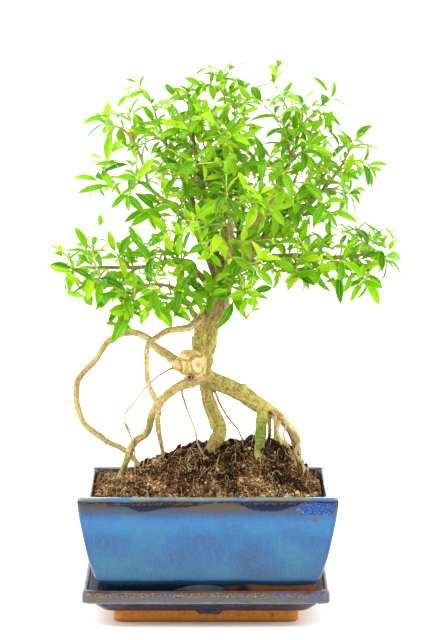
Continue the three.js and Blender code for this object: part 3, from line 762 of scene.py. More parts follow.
@dataclass(frozen=True)
class PotGlaze(Finish):
    """Blue glaze that breaks dark under a pale lip, partly painted reflection, over a clay foot that is
    partly bare.
    """

    bands: tuple = (
        # The lowest stops, near black to dark teal, are partly painted shade low on the pot, where it stands
        # down in the tray.
        (0.000, (0.003, 0.008, 0.014)), (0.172, (0.003, 0.009, 0.017)), (0.188, (0.006, 0.040, 0.090)),
        (0.208, (0.010, 0.060, 0.130)), (0.222, (0.052, 0.122, 0.235)), (0.300, (0.050, 0.118, 0.250)),
        (0.480, (0.042, 0.118, 0.268)), (0.630, (0.034, 0.124, 0.310)), (0.710, (0.040, 0.168, 0.366)),
        (0.775, (0.042, 0.152, 0.390)), (0.812, (0.042, 0.105, 0.275)), (0.850, (0.046, 0.080, 0.160)),
        (0.888, (0.050, 0.070, 0.105)), (0.915, (0.046, 0.050, 0.064)), (0.926, (0.014, 0.006, 0.003)),
        # The palest stops at the top are partly painted reflection on the rounded lip.
        (0.950, (0.010, 0.005, 0.002)), (0.964, (0.085, 0.116, 0.117)), (0.985, (0.156, 0.218, 0.225)),
    )
    ink: tuple = (0.001, 0.008, 0.034)
    beige: tuple = (0.088, 0.074, 0.056)
    rust: tuple = (0.200, 0.075, 0.020)
    sky: tuple = (0.008, 0.050, 0.230)
    cyan: tuple = (0.050, 0.185, 0.290)
    dusk: tuple = (0.045, 0.080, 0.170)
    lip_blue: tuple = (0.020, 0.120, 0.380)
    # Near black: painted shade on the inner walls above the soil.
    inner: tuple = (0.012, 0.018, 0.010)
    clay: tuple = (0.270, 0.090, 0.018)

    def build(self) -> Material:
        """Builds the material from the height on the pot, broken up by noise.

        Returns:
            The material.
        """
        s = Shader("pot_glaze")
        x, y, z = s.axes()
        waver = s.uneven((30, 30, 55), 3)
        fine = s.uneven(900, 4, 0.7)
        height = waver * 0.0042 + fine * 0.0016 + z
        share = (height - 0.017) / 0.0865
        s.colour = s.ramp(share, self.bands)
        body = s.fit(share, 0.21, 0.26) * s.fit(share, 0.86, 0.80)
        cloud = s.noise((26, 26, 36), 4, 0.6)
        s.coat(s.fit(cloud, 0.48, 0.70) * body * 0.55, self.cyan)
        s.coat(s.fit(cloud, 0.50, 0.32) * body * 0.5, self.dusk)
        s.coat(s.fit(s.noise((420, 420, 26), 3, 0.6), 0.46, 0.74) * body * 0.20, (0.085, 0.215, 0.320))
        s.coat(s.fit(fine, -0.02, 0.22) * (body * 0.30 + 0.10), (0.080, 0.24, 0.38))
        s.coat(s.fit(fine, -0.04, -0.22) * body * 0.42, (0.016, 0.050, 0.170))
        # Painted shade: darker navy down the rounded corners of the body.
        edge_x = abs(x) - 0.0821 - z * 0.2
        edge_y = abs(y) - 0.0566 - z * 0.2
        corner = s.fit(edge_x, -0.0055, -0.0010) * s.fit(edge_y, -0.0055, -0.0010, 0.0, 0.6)
        s.coat(corner * body, (0.008, 0.030, 0.115))
        pools = s.fit(s.noise((24, 24, 30), 2, 0.5), 0.47, 0.56)
        band = s.fit(share, 0.845, 0.875) * s.fit(share, 0.94, 0.925)
        front = s.fit(y, -0.058, -0.064)
        s.coat(pools * band * (1.0 - front) * 0.9, self.ink)
        across = fine * 0.010 + waver * 0.045 + x
        level = waver * 0.006 + fine * 0.0045 + z
        marks = (
            ((0.001, 0.034, 0.0090), self.beige, 0.75),
            ((-0.090, 0.020, 0.0050), self.beige, 0.5),
            ((-0.0440, 0.0190, 0.0058), self.ink, 0.9),
            ((0.0440, 0.0270, 0.0066), self.ink, 0.95),
            ((-0.0260, 0.0260, 0.0036), (0.016, 0.007, 0.003), 0.9),
            ((0.0850, 0.0150, 0.0100), self.sky, 0.9),
        )
        for box, shade, strength in marks:
            s.coat(self.mark(s, across, level, *box) * front * strength, shade)
        glints = self.mark(s, across, level, *marks[5][0]) * s.fit(fine, 0.03, 0.13, 0.0, 0.75)
        s.coat(glints * front, (0.16, 0.34, 0.62))
        to_chip = s.vector("DISTANCE", s.place, (0.0820, -0.0735, 0.0856), "Value")
        s.coat(s.fit(fine * 0.004 + to_chip, 0.0016, 0.0028, 0.8, 0.0), (0.13, 0.07, 0.045))
        line = s.fit(share, 0.918, 0.932) * s.fit(share, 0.960, 0.945)
        rusts = s.fit(s.noise((420, 420, 700), 3, 0.7), 0.52, 0.66, 0.0, 0.75)
        s.coat(line * rusts, self.rust)
        rim = s.fit(share, 0.955, 0.975)
        s.coat(s.fit(s.noise((36, 36, 20), 2), 0.54, 0.62) * rim * 0.8, self.lip_blue)
        s.coat(s.fit(s.noise((90, 90, 60), 4, 0.7), 0.52, 0.66) * rim * 0.6, (0.13, 0.115, 0.08))
        s.coat(s.fit(abs(across + 0.068), 0.008, 0.013, 0.8, 0.0) * front * rim, (0.022, 0.120, 0.340))
        # Painted shade: the inner walls above the soil are near black, for the shadow inside the pot.
        inner = s.fit(abs(x), 0.0915, 0.0905) * s.fit(abs(y), 0.0660, 0.0650) * s.fit(z, 0.080, 0.086)
        s.coat(inner, s.mix(s.fit(fine, -0.15, 0.2), self.inner, (0.055, 0.065, 0.040)))
        bare = s.fit(waver * 0.05 + x, 0.016, 0.030) * s.fit(height, 0.0325, 0.0305)
        bare = s.math("MAXIMUM", bare, s.fit(z, 0.0186, 0.0180))
        s.coat(bare, s.mix(s.fit(s.noise(260, 5, 0.7), 0.35, 0.75), self.clay, (0.11, 0.035, 0.008)))
        rough = bare * 0.6 + s.fit(fine, -0.2, 0.3, 0.08, 0.22)
        pits = s.bump(fine * (bare * 3.0 + 1.0), 0.05, s.bump(s.noise(50, 2), 0.45))
        return s.done(Roughness=rough, Normal=pits, Specular_IOR_Level=0.13)

    @staticmethod
    def mark(s: Shader, across: Value, level: Value, middle: float, half: float, depth: float) -> Value:
        """Gives how strongly a place lies in a lens-shaped mark that hangs from the lip.

        Args:
            s: The material under construction.
            across, level: The place along the front and its height.
            middle, half, depth: The mark's middle, half width and depth, in metres.

        Returns:
            1 in the mark and 0 outside.
        """
        share = (across - middle) / half
        drop = share * share * -depth + depth
        inside = s.fit(s.math("MAXIMUM", drop, 0.0) + level, 0.0978, 0.0990)
        return inside * s.fit(level, 0.0990, 0.0980)


@dataclass(frozen=True)
class TrayGlaze(Finish):
    """Slate glaze with a rusty crust along the rim, dark inside, over a bare ochre foot."""

    bands: tuple = (
        (0.00, (0.014, 0.009, 0.020)), (0.37, (0.014, 0.009, 0.022)), (0.60, (0.030, 0.024, 0.040)),
        (0.638, (0.250, 0.170, 0.170)), (0.660, (0.230, 0.165, 0.165)), (0.685, (0.062, 0.092, 0.095)),
        (0.78, (0.066, 0.084, 0.088)), (0.815, (0.095, 0.070, 0.058)), (0.838, (0.085, 0.042, 0.022)),
        (0.885, (0.095, 0.046, 0.024)), (0.905, (0.050, 0.026, 0.030)), (1.00, (0.030, 0.018, 0.040)),
    )
    inside: tuple = (0.022, 0.013, 0.034)
    haze: tuple = (0.08, 0.07, 0.16)
    # Pale: painted reflection on the upper inner slope of the wall.
    pale: tuple = (0.62, 0.66, 0.62)
    clay: tuple = (0.560, 0.210, 0.020)
    clay_dark: tuple = (0.24, 0.068, 0.004)

    def build(self) -> Material:
        """Builds the material from the height on the tray and the side that it is on.

        Returns:
            The material.
        """
        s = Shader("tray_glaze")
        x, y, z = s.axes()
        waver = s.uneven((60, 60, 60), 4)
        fine = s.noise(900, 4, 0.7)
        share = (waver * 0.0022 + (fine - 0.5) * 0.0013 + z) / 0.030
        s.colour = s.ramp(share, self.bands)
        crumbs = s.noise((700, 700, 1100), 3, 0.7)
        edge = s.fit(share, 0.79, 0.82) * s.fit(share, 0.925, 0.895)
        s.coat(edge * s.fit(crumbs, 0.52, 0.64, 0.0, 0.9), (0.46, 0.29, 0.12))
        s.coat(edge * s.fit(crumbs, 0.44, 0.34, 0.0, 0.8), (0.035, 0.016, 0.010))
        s.coat(s.fit(s.noise((70, 70, 160), 4, 0.65), 0.50, 0.66) * 0.5, (0.055, 0.045, 0.085))
        s.coat(s.fit(s.noise((40, 40, 90), 3), 0.54, 0.7) * 0.6, (0.030, 0.060, 0.190))
        out = s.math("MAXIMUM", abs(x + 0.0015) - 0.0925, abs(y) - 0.067)
        inner = s.fit(out, 0.0018, 0.0006) * s.fit(waver * 0.002 + z, 0.0125, 0.0155)
        deep = s.mix(s.fit(s.noise(260, 4, 0.65), 0.45, 0.75), self.inside, self.haze)
        # Painted reflection: the upper inner slope of the wall is pale all round, for the light that the
        # glossy glaze throws back there.
        side = s.fit(out, -0.0125, -0.0100) * s.fit(out, -0.0014, -0.0026)
        deep = s.mix(side * s.fit(z, 0.0186, 0.0198), deep, self.pale)
        s.coat(inner, deep)
        drip = s.fit(abs(x - 0.001), 0.007, 0.012, 0.0036, 0.0)
        bare = s.fit(waver * 0.003 + z + drip, 0.0104, 0.0096)
        grain = s.fit(s.noise(300, 5, 0.7), 0.40, 0.85)
        # Darker clay in mottles and towards the bottom of the foot.
        mottle_and_low_dark = s.math("MAXIMUM", grain, s.fit(z, 0.0042, 0.0, 0.0, 0.75))
        s.coat(bare, s.mix(mottle_and_low_dark, self.clay, self.clay_dark))
        s.coat(s.fit(s.cells(55), 0.13, 0.0) * bare * 0.8, (0.02, 0.012, 0.008))
        rough = bare * 0.6 + inner * 0.25 + s.fit(fine, 0.3, 0.8, 0.10, 0.30)
        relief = s.bump(edge * 1.5 + fine, 0.14)
        return s.done(Roughness=rough, Normal=relief, Specular_IOR_Level=0.45)


@dataclass(frozen=True)
class Peat(Finish):
    """Dark crumbly peat, dry and tan on its high spots."""

    wet: tuple = (0.004, 0.0015, 0.0005)
    damp: tuple = (0.055, 0.022, 0.006)
    dry: tuple = (0.32, 0.185, 0.075)
    pale: tuple = (0.78, 0.56, 0.32)

    def build(self) -> Material:
        """Builds the material from layers of noise and, on loose crumbs, a tint for each.

        Returns:
            The material.
        """
        s = Shader("soil")
        value = s.math("POWER", s.read("crumb_tint"), 3.0) * 0.50 + 0.26
        value = s.uneven(800, 6, 0.8) * 2.8 + s.uneven(70, 4, 0.6) * 1.5 + value
        value = value + s.fit(s.axes()[2], 0.106, 0.128, 0.06, -0.12)
        s.colour = s.ramp(value, ((0.12, self.wet), (0.38, self.damp), (0.62, self.dry), (0.92, self.pale)))
        relief = s.bump(s.noise(900, 6, 0.75), 0.6)
        return s.done(Roughness=0.95, Normal=relief, Specular_IOR_Level=0.1)


@dataclass(frozen=True)
class Fibre(Finish):
    """Pale dry root fibres in the peat."""

    pale: tuple = (0.68, 0.50, 0.25)
    brown: tuple = (0.40, 0.24, 0.09)

    def build(self) -> Material:
        """Builds the material with some fibres paler than others.

        Returns:
            The material.
        """
        s = Shader("fibre")
        s.colour = s.mix(s.fit(s.noise(90, 2), 0.35, 0.65), self.brown, self.pale)
        return s.done(Roughness=0.8, Normal=s.bump(s.noise(1500, 3), 0.1))


@dataclass(frozen=True)
class Bark(Finish):
    """Rough bark: olive on the trunk and the thick roots, tan on the loose ones, brown on twigs."""

    stops: tuple = (0.20, 0.42, 0.56, 0.84)
    olive: tuple = ((0.085, 0.060, 0.012), (0.40, 0.320, 0.056), (0.59, 0.510, 0.112), (0.88, 0.820, 0.350))
    tan: tuple = ((0.190, 0.095, 0.030), (0.54, 0.340, 0.135), (0.74, 0.530, 0.240), (0.92, 0.790, 0.480))
    brown: tuple = ((0.120, 0.058, 0.022), (0.32, 0.185, 0.075), (0.46, 0.290, 0.125), (0.68, 0.500, 0.270))
    young: tuple = ((0.100, 0.095, 0.020), (0.34, 0.340, 0.075), (0.50, 0.500, 0.130), (0.72, 0.700, 0.330))
    knot: tuple = (0.84, 0.68, 0.27)
    heart: tuple = (0.60, 0.24, 0.09)
    scar_and_shade: tuple = (0.075, 0.038, 0.012)
    cream_and_highlight: tuple = (0.88, 0.76, 0.40)
    rust: tuple = ((0.045, 0.020, 0.006), (0.17, 0.075, 0.020), (0.34, 0.17, 0.055), (0.62, 0.42, 0.20))
    algae: tuple = ((0.040, 0.060, 0.006), (0.14, 0.175, 0.020), (0.25, 0.29, 0.045), (0.50, 0.52, 0.16))
    moss: tuple = ((0.020, 0.046, 0.002), (0.06, 0.135, 0.006), (0.13, 0.24, 0.012), (0.30, 0.44, 0.05))

    def build(self) -> Material:
        """Builds the material on the bark's own place round and along each limb.

        Returns:
            The material.
        """
        s = Shader("bark")
        own = s.read("bark_place", "Vector")
        rooty = s.read("bark_root")
        knotty = s.read("bark_knot")
        lines = s.uneven((680, 680, 180), 5, 0.72, 1.3, place=own)
        broad = s.uneven((120, 120, 45), 4, 0.6, place=own)
        rings = s.uneven((80, 80, 700), 3, 0.6, place=own)
        speck = s.uneven(1000, 4, 0.75)
        value = lines * 1.3 + speck * 1.1 + broad * 0.5 + rings * rooty * 0.5 + 0.52
        kinds = (self.olive, self.tan, self.brown, self.young, self.rust, self.algae, self.moss)
        ramps = [s.ramp(value, tuple(zip(self.stops, colours))) for colours in kinds]
        olive, tan, brown, young, rust, algae, moss = ramps
        s.colour = brown
        outward = s.vector("MULTIPLY", s.vector("SUBTRACT", s.place, (0.005, 0.0, 0.0)), (1.0, 1.0, 0.0))
        s.coat(s.fit(s.vector("LENGTH", outward, output="Value"), 0.022, 0.062, 0.0, 0.8), young)
        s.coat(rooty, tan)
        s.coat(broad * 0.9 + s.read("bark_tone"), olive)
        # Pale streaks of the bark, and painted highlight on the trunk's right edge and on top of the right
        # thigh.
        s.coat(s.fit(lines * 1.2 + s.read("bark_cream"), 0.3, 0.9, 0.0, 0.8), self.cream_and_highlight)
        s.coat(s.fit(lines * 1.6 + s.read("bark_rust"), 0.35, 0.85, 0.0, 0.9), rust)
        film = speck * 2.2 + broad * 2.0 + lines * 0.7 + s.read("bark_algae")
        s.coat(s.fit(film, 0.25, 0.90, 0.0, 0.85), algae)
        s.coat(s.fit(film, 0.80, 1.10, 0.0, 0.85), moss)
        pale = s.mix(s.fit(broad * 1.4 + lines, -0.10, 0.10), (0.62, 0.44, 0.14), self.knot)
        pale = s.mix(s.fit(speck, 0.02, 0.22, 0.0, 0.55), pale, (0.92, 0.80, 0.46))
        pale = s.mix(s.fit(speck * 1.2 + broad, -0.06, -0.26, 0.0, 0.7), pale, (0.40, 0.24, 0.07))
        # Painted shade: darker brown in the creases between the knot's lobes.
        creased = speck * 0.8 + s.read("bark_crease")
        pale = s.mix(s.fit(creased, 0.45, 1.0, 0.0, 0.65), pale, (0.24, 0.125, 0.035))
        s.coat(knotty, pale)
        # Dark scars, and painted shade in the hollow under the knot and in the recess high on the trunk.
        s.coat(s.fit(speck * 0.6 + s.read("bark_scar"), 0.35, 0.75, 0.0, 0.92), self.scar_and_shade)
        to_heart = s.vector("SUBTRACT", s.place, (-0.0078, -0.0176, 0.1972))
        to_heart = s.vector("MULTIPLY", to_heart, (1.15, 0.8, 0.9))
        far = speck * 0.0036 + broad * 0.0080 + s.vector("LENGTH", to_heart, output="Value")
        year_rings = s.fit(s.math("SINE", far * 5200.0), -0.2, 1.0, 0.0, 0.35)
        grain = s.mix(year_rings, (0.86, 0.60, 0.36), (0.62, 0.34, 0.16))
        s.coat(s.fit(far, 0.0064, 0.0056) * knotty * 0.75, grain)
        s.coat(s.fit(far, 0.0012, 0.0040, 0.85, 0.0), self.heart)
        rim = s.fit(far, 0.0056, 0.0066) * s.fit(far, 0.0088, 0.0070)
        s.coat(rim * s.fit(broad + speck, -0.12, 0.10, 0.25, 0.9) * knotty, (0.26, 0.13, 0.035))
        skin_share = 1.0 - knotty * 0.75
        relief = s.bump(skin_share * speck, 0.7, s.bump(skin_share * (rings * rooty + lines), 1.5))
        return s.done(Roughness=0.8, Normal=relief, Specular_IOR_Level=0.3)


@dataclass(frozen=True)
class Leaf(Finish):
    """Glossy yellow-green leaves: bright when young, deeper green when full-grown."""

    old: tuple = (0.026, 0.148, 0.0003)
    full: tuple = (0.122, 0.345, 0.0003)
    bright: tuple = (0.280, 0.510, 0.001)
    new: tuple = (0.470, 0.680, 0.015)

    def build(self) -> Material:
        """Builds the material from each leaf's tint and the place on its blade.

        Returns:
            The material.
        """
        s = Shader("leaf")
        value = s.uneven(150, 3) * 0.35 + s.read("blade_tint")
        greens = ((0.05, self.old), (0.35, self.full), (0.65, self.bright), (0.95, self.new))
        s.colour = s.ramp(value, greens)
        side = abs(s.read("blade_across"))
        rib = s.fit(side, 0.03, 0.14, 0.36, 0.0)
        s.coat(rib, (0.42, 0.70, 0.03))
        veins = s.fit(s.math("SINE", s.read("blade_along") * 62.0 - side * 9.0), 0.80, 1.0)
        s.coat(veins * 0.16, (0.38, 0.68, 0.02))
        s.coat(s.read("blade_under") * 0.45, (0.26, 0.50, 0.03))
        relief = s.bump(veins * -0.5 - rib * 1.6, 0.12)
        return s.done(
            Roughness=0.34,
            Normal=relief,
            Specular_IOR_Level=0.11,
            Subsurface_Weight=0.30,
            Subsurface_Radius=(0.5, 1.0, 0.12),
            Subsurface_Scale=0.0011,
        )


@dataclass(frozen=True)
class Twig(Finish):
    """Twigs from woody brown at their foot to fresh yellow-green at their tip."""

    wood: tuple = (0.36, 0.21, 0.08)
    green: tuple = (0.36, 0.50, 0.07)
    tip: tuple = (0.60, 0.74, 0.20)

    def build(self) -> Material:
        """Builds the material from how young the stem is.

        Returns:
            The material.
        """
        s = Shader("stem")
        value = s.uneven(260, 3) * 0.4 + s.read("stem_youth")
        s.colour = s.ramp(value, ((0.25, self.wood), (0.5, self.green), (0.95, self.tip)))
        return s.done(Roughness=0.55, Normal=s.bump(s.noise(1100, 3), 0.08))


@dataclass(frozen=True)
class Chip(Finish):
    """Nearly black chips of bark in the soil."""

    dark: tuple = (0.012, 0.008, 0.006)
    worn: tuple = (0.06, 0.04, 0.025)

    def build(self) -> Material:
        """Builds the material with worn high spots.

        Returns:
            The material.
        """
        s = Shader("bark_chip")
        grain = s.noise((300, 300, 1200), 5, 0.7)
        s.colour = s.mix(s.fit(grain, 0.45, 0.75), self.dark, self.worn)
        return s.done(Roughness=0.85, Normal=s.bump(grain, 0.35))


@dataclass(frozen=True)
class Studio(Finish):
    """The plain pale floor."""

    white: tuple = (0.92, 0.915, 0.90)

    def build(self) -> Material:
        """Builds a matt white with hardly any variation.

        Returns:
            The material.
        """
        s = Shader("floor")
        s.colour = s.mix(s.noise(3, 2) * 0.1, self.white, (0.90, 0.90, 0.885))
        return s.done(Roughness=0.9)


# The plant's growth, as the frame has it


class Wood(Enum):
    """The kinds of woody limb."""

    TRUNK = "trunk"
    BOUGH = "bough"
    BRANCH = "branch"
    ROOT = "root"
    ROOTLET = "rootlet"


@dataclass(frozen=True)
class Limb:
    """A limb or root: its kind, its radii, spread evenly along it, and the points of its route."""

    kind: Wood
    radii: tuple
    route: tuple

    def curve(self) -> Route:
        """Gives the smooth curve through the route."""
        return Route(self.route)


LIMBS = {
    "trunk": Limb(Wood.TRUNK, (11, 12, 11, 10, 9, 9.6, 10.4, 10), (
        (-6, 0, 178), (-4, 0, 194), (-2, 0, 206), (1, -1, 222), (5, -2, 236), (8, -2, 249), (10, -1, 261),
        (13, 0, 274),
    )),
    "leader_left": Limb(Wood.BRANCH, (4.2, 3.2, 2.8, 2.4, 2.1, 1.7, 1.4, 1.2), (
        (7, 1, 266), (5, 5, 289), (2, 8, 304), (1, 10, 319), (-4, 12, 333), (-9, 10, 354), (-12, 6, 376),
        (-15, 4, 391),
    )),
    "leader_mid": Limb(Wood.BRANCH, (3, 2.6, 2.3, 2, 1.8, 1.6, 1.4, 1.2), (
        (17, 2, 266), (23, 8, 282), (24, 11, 296), (23, 13, 312), (22, 14, 326), (20, 14, 346),
        (18, 10, 369), (14, 6, 391),
    )),
    "leader_twin": Limb(Wood.BRANCH, (1.9, 1.7, 1.5, 1.3, 1.2), (
        (15, -4, 268), (17, -5, 288), (16, -6, 310), (14, -8, 332), (16, -12, 352),
    )),
    "thick_right": Limb(Wood.BOUGH, (8, 6.4, 5.6, 5, 4, 3, 2.2, 1.6, 1.2), (
        (14, -2, 268), (25, -6, 285), (33, -8, 296), (41, -10, 311), (48, -12, 322), (55, -12, 337),
        (63, -10, 354), (69, -6, 372), (73, -2, 387),
    )),
    "second_right": Limb(Wood.BOUGH, (6.4, 4.6, 3.7, 3.2, 2.6, 2, 1.6, 1.2), (
        (15, 0, 266), (35, 4, 283), (48, 8, 296), (62, 12, 306), (75, 14, 316), (87, 14, 327),
        (97, 10, 340), (105, 6, 352),
    )),
    "up_left_long": Limb(Wood.BRANCH, (3, 2.3, 2, 1.8, 1.6, 1.5, 1.3, 1.2), (
        (6, -1, 264), (-5, -6, 290), (-14, -12, 307), (-25, -16, 318), (-37, -20, 328), (-48, -22, 337),
        (-58, -24, 342), (-72, -26, 344),
    )),
    "up_left_shoot": Limb(Wood.BRANCH, (1.5, 1.4, 1.3, 1.2), (
        (-45, -21, 334), (-48, -20, 347), (-54, -18, 364), (-63, -16, 378),
    )),
    "left_mid": Limb(Wood.BRANCH, (2.8, 2.3, 2, 1.7, 1.4, 1.2), (
        (3, 3, 270), (-5, 10, 302), (-15, 20, 328), (-24, 26, 346), (-33, 28, 366), (-40, 24, 385),
    )),
    "arm_left": Limb(Wood.BRANCH, (3.2, 2.5, 2.2, 2, 1.8, 1.6, 1.4, 1.2), (
        (4, 0, 254), (-8, -6, 267), (-17, -11, 275), (-31, -13, 277), (-48, -12, 273), (-67, -10, 272),
        (-85, -8, 272), (-99, -6, 271),
    )),
    "low_left": Limb(Wood.BRANCH, (3, 2.2, 1.8, 1.6, 1.4, 1.2), (
        (-3, -2, 227), (-12, -8, 237), (-17, -14, 247), (-26, -20, 257), (-40, -26, 261), (-54, -28, 258),
    )),
    "arm_right": Limb(Wood.BRANCH, (4, 2.8, 2.4, 2, 1.8, 1.5, 1.2), (
        (14, 1, 264), (37, 8, 274), (56, 14, 278), (76, 16, 278), (97, 14, 277), (115, 10, 279),
        (132, 6, 282),
    )),
    "back_rise": Limb(Wood.BRANCH, (4.4, 3.2, 2.4, 1.8, 1.2), (
        (12, 2, 262), (13, 22, 286), (10, 42, 312), (4, 56, 336), (-2, 64, 356),
    )),
    "back_right": Limb(Wood.BRANCH, (2.8, 2.2, 1.8, 1.2), (
        (37, 5, 285), (48, 22, 300), (60, 40, 318), (70, 52, 338),
    )),
    "front_rise": Limb(Wood.BRANCH, (3.4, 2.4, 1.8, 1.2), (
        (12, -2, 262), (16, -22, 284), (18, -40, 304), (16, -54, 322),
    )),
}

ROOTS = {
    "aerial": Limb(Wood.ROOT, (3.4, 2.6, 2.3, 2.1, 2.1, 2.1, 2.1, 2.1, 1.7, 1.2), (
        (-2, -4, 235), (-8, -11, 231), (-14, -15, 226), (-25, -20, 225), (-32, -22, 224), (-39, -24, 220),
        (-44, -26, 217), (-47, -28, 212), (-47, -29, 203), (-47, -30, 192), (-45, -30, 182),
        (-41, -29, 173), (-38, -27, 164), (-39, -23, 155), (-38, -17, 143), (-36, -9, 131),
        (-34, -4, 119), (-33, -2, 108),
    )),
    "loop": Limb(Wood.ROOT, (4.4, 3.2, 2.6, 2.4, 2.4, 2.4, 2.4, 2.4, 2.4, 2.3, 2, 1.4), (
        (-14, -4, 193), (-26, -2, 198), (-33, 1, 203), (-42, 5, 209), (-48, 8, 215), (-56, 11, 218),
        (-64, 13, 218), (-72, 15, 215), (-78, 16, 211), (-83, 16, 204), (-88, 16, 196), (-95, 16, 189),
        (-101, 15, 182), (-103, 14, 175), (-103, 13, 165), (-101, 12, 155), (-96, 12, 145),
        (-87, 12, 138), (-77, 12, 131), (-68, 12, 127), (-61, 12, 121), (-53, 12, 112), (-47, 12, 102),
    )),
    "left_leg": Limb(Wood.ROOT, (6, 4, 3.3, 3, 2.9, 2.7, 2.6, 2.5, 2.4, 2.2), (
        (-5, -4, 188), (-14, -11, 183), (-21, -13, 180), (-28, -15, 176), (-35, -16, 170),
        (-40, -16, 163), (-44, -15, 156), (-46, -13, 147), (-49, -11, 141), (-56, -8, 136),
        (-60, -6, 130), (-63, -4, 121), (-66, -2, 113), (-70, 0, 103), (-72, 2, 92),
    )),
    "middle_leg": Limb(Wood.ROOT, (6, 4.2, 3.9, 4.2, 4.7, 4.8, 4.4, 3), (
        (-4, 2, 186), (-2, 4, 180), (0, 2, 171), (4, 0, 160), (8, -2, 150), (9, -5, 141), (5, -9, 134),
        (2, -12, 125), (1, -13, 112),
    )),
    "middle_strand": Limb(Wood.ROOT, (2, 1.5, 1.4, 1.5, 1.6), (
        (-4, 0, 184), (-4, -3, 172), (-3, -6, 164), (1, -8, 154), (4, -7, 145),
    )),
    "right_thigh": Limb(Wood.ROOT, (6.6, 6.2, 6, 5.8, 5.8, 5.4, 4.2), (
        (-6, 0, 187), (3, 1, 183), (13, 2, 178), (24, 3, 173), (35, 2, 166), (44, 0, 160), (50, 0, 156),
    )),
    "right_leg": Limb(Wood.ROOT, (5, 4.4, 3.9, 4.4, 5, 3.4), (
        (44, 0, 160), (42, -5, 152), (41, -11, 143), (41, -17, 133), (42, -23, 121), (43, -26, 108),
    )),
    "right_outer": Limb(Wood.ROOT, (4.2, 3.4, 3.4, 3.5, 3.3, 2.2), (
        (46, 0, 159), (54, 2, 155), (60, 3, 149), (66, 4, 141), (69, 4, 132), (70, 4, 121), (70, 4, 108),
    )),
    "right_thin": Limb(Wood.ROOT, (2.4, 1.7, 1.6, 1.5, 1.2), (
        (47, -2, 159), (52, -7, 153), (53, -11, 145), (52, -16, 135), (51, -20, 124), (51, -22, 112),
    )),
    "right_inner": Limb(Wood.ROOT, (2, 1.5, 1.4, 1.4, 1.2), (
        (46, 1, 158), (48, 2, 150), (48, -4, 141), (47, -11, 133), (47, -16, 124), (47, -18, 112),
    )),
    "right_fibrous": Limb(Wood.ROOT, (1.4, 1.6, 2.1, 2.6, 2.5, 1.8), (
        (52, -8, 150), (54, -11, 142), (57, -14, 136), (62, -17, 129), (66, -21, 121), (69, -24, 108),
    )),
    "rootlet_left": Limb(Wood.ROOTLET, (1, 0.7, 0.7, 0.7, 0.7, 0.7), (
        (-20, -7, 195), (-29, -12, 193), (-36, -17, 190), (-43, -20, 185), (-49, -22, 179),
        (-56, -22, 170), (-63, -20, 161), (-65, -17, 153), (-62, -14, 144), (-58, -10, 133),
        (-57, -6, 122), (-57, -4, 106),
    )),
    "rootlet_mid": Limb(Wood.ROOTLET, (1.1, 0.9, 0.8, 0.8, 0.8), (
        (-14, -8, 187), (-20, -12, 177), (-18, -13, 167), (-14, -13, 156), (-10, -13, 145),
        (-8, -14, 135), (-3, -17, 124), (-1, -18, 112),
    )),
    "rootlet_right": Limb(Wood.ROOTLET, (1.1, 0.8, 0.7, 0.7, 0.7), (
        (4, 2, 176), (10, 5, 162), (16, 4, 152), (23, 0, 144), (27, -4, 135), (30, -8, 124),
        (31, -9, 112),
    )),
}

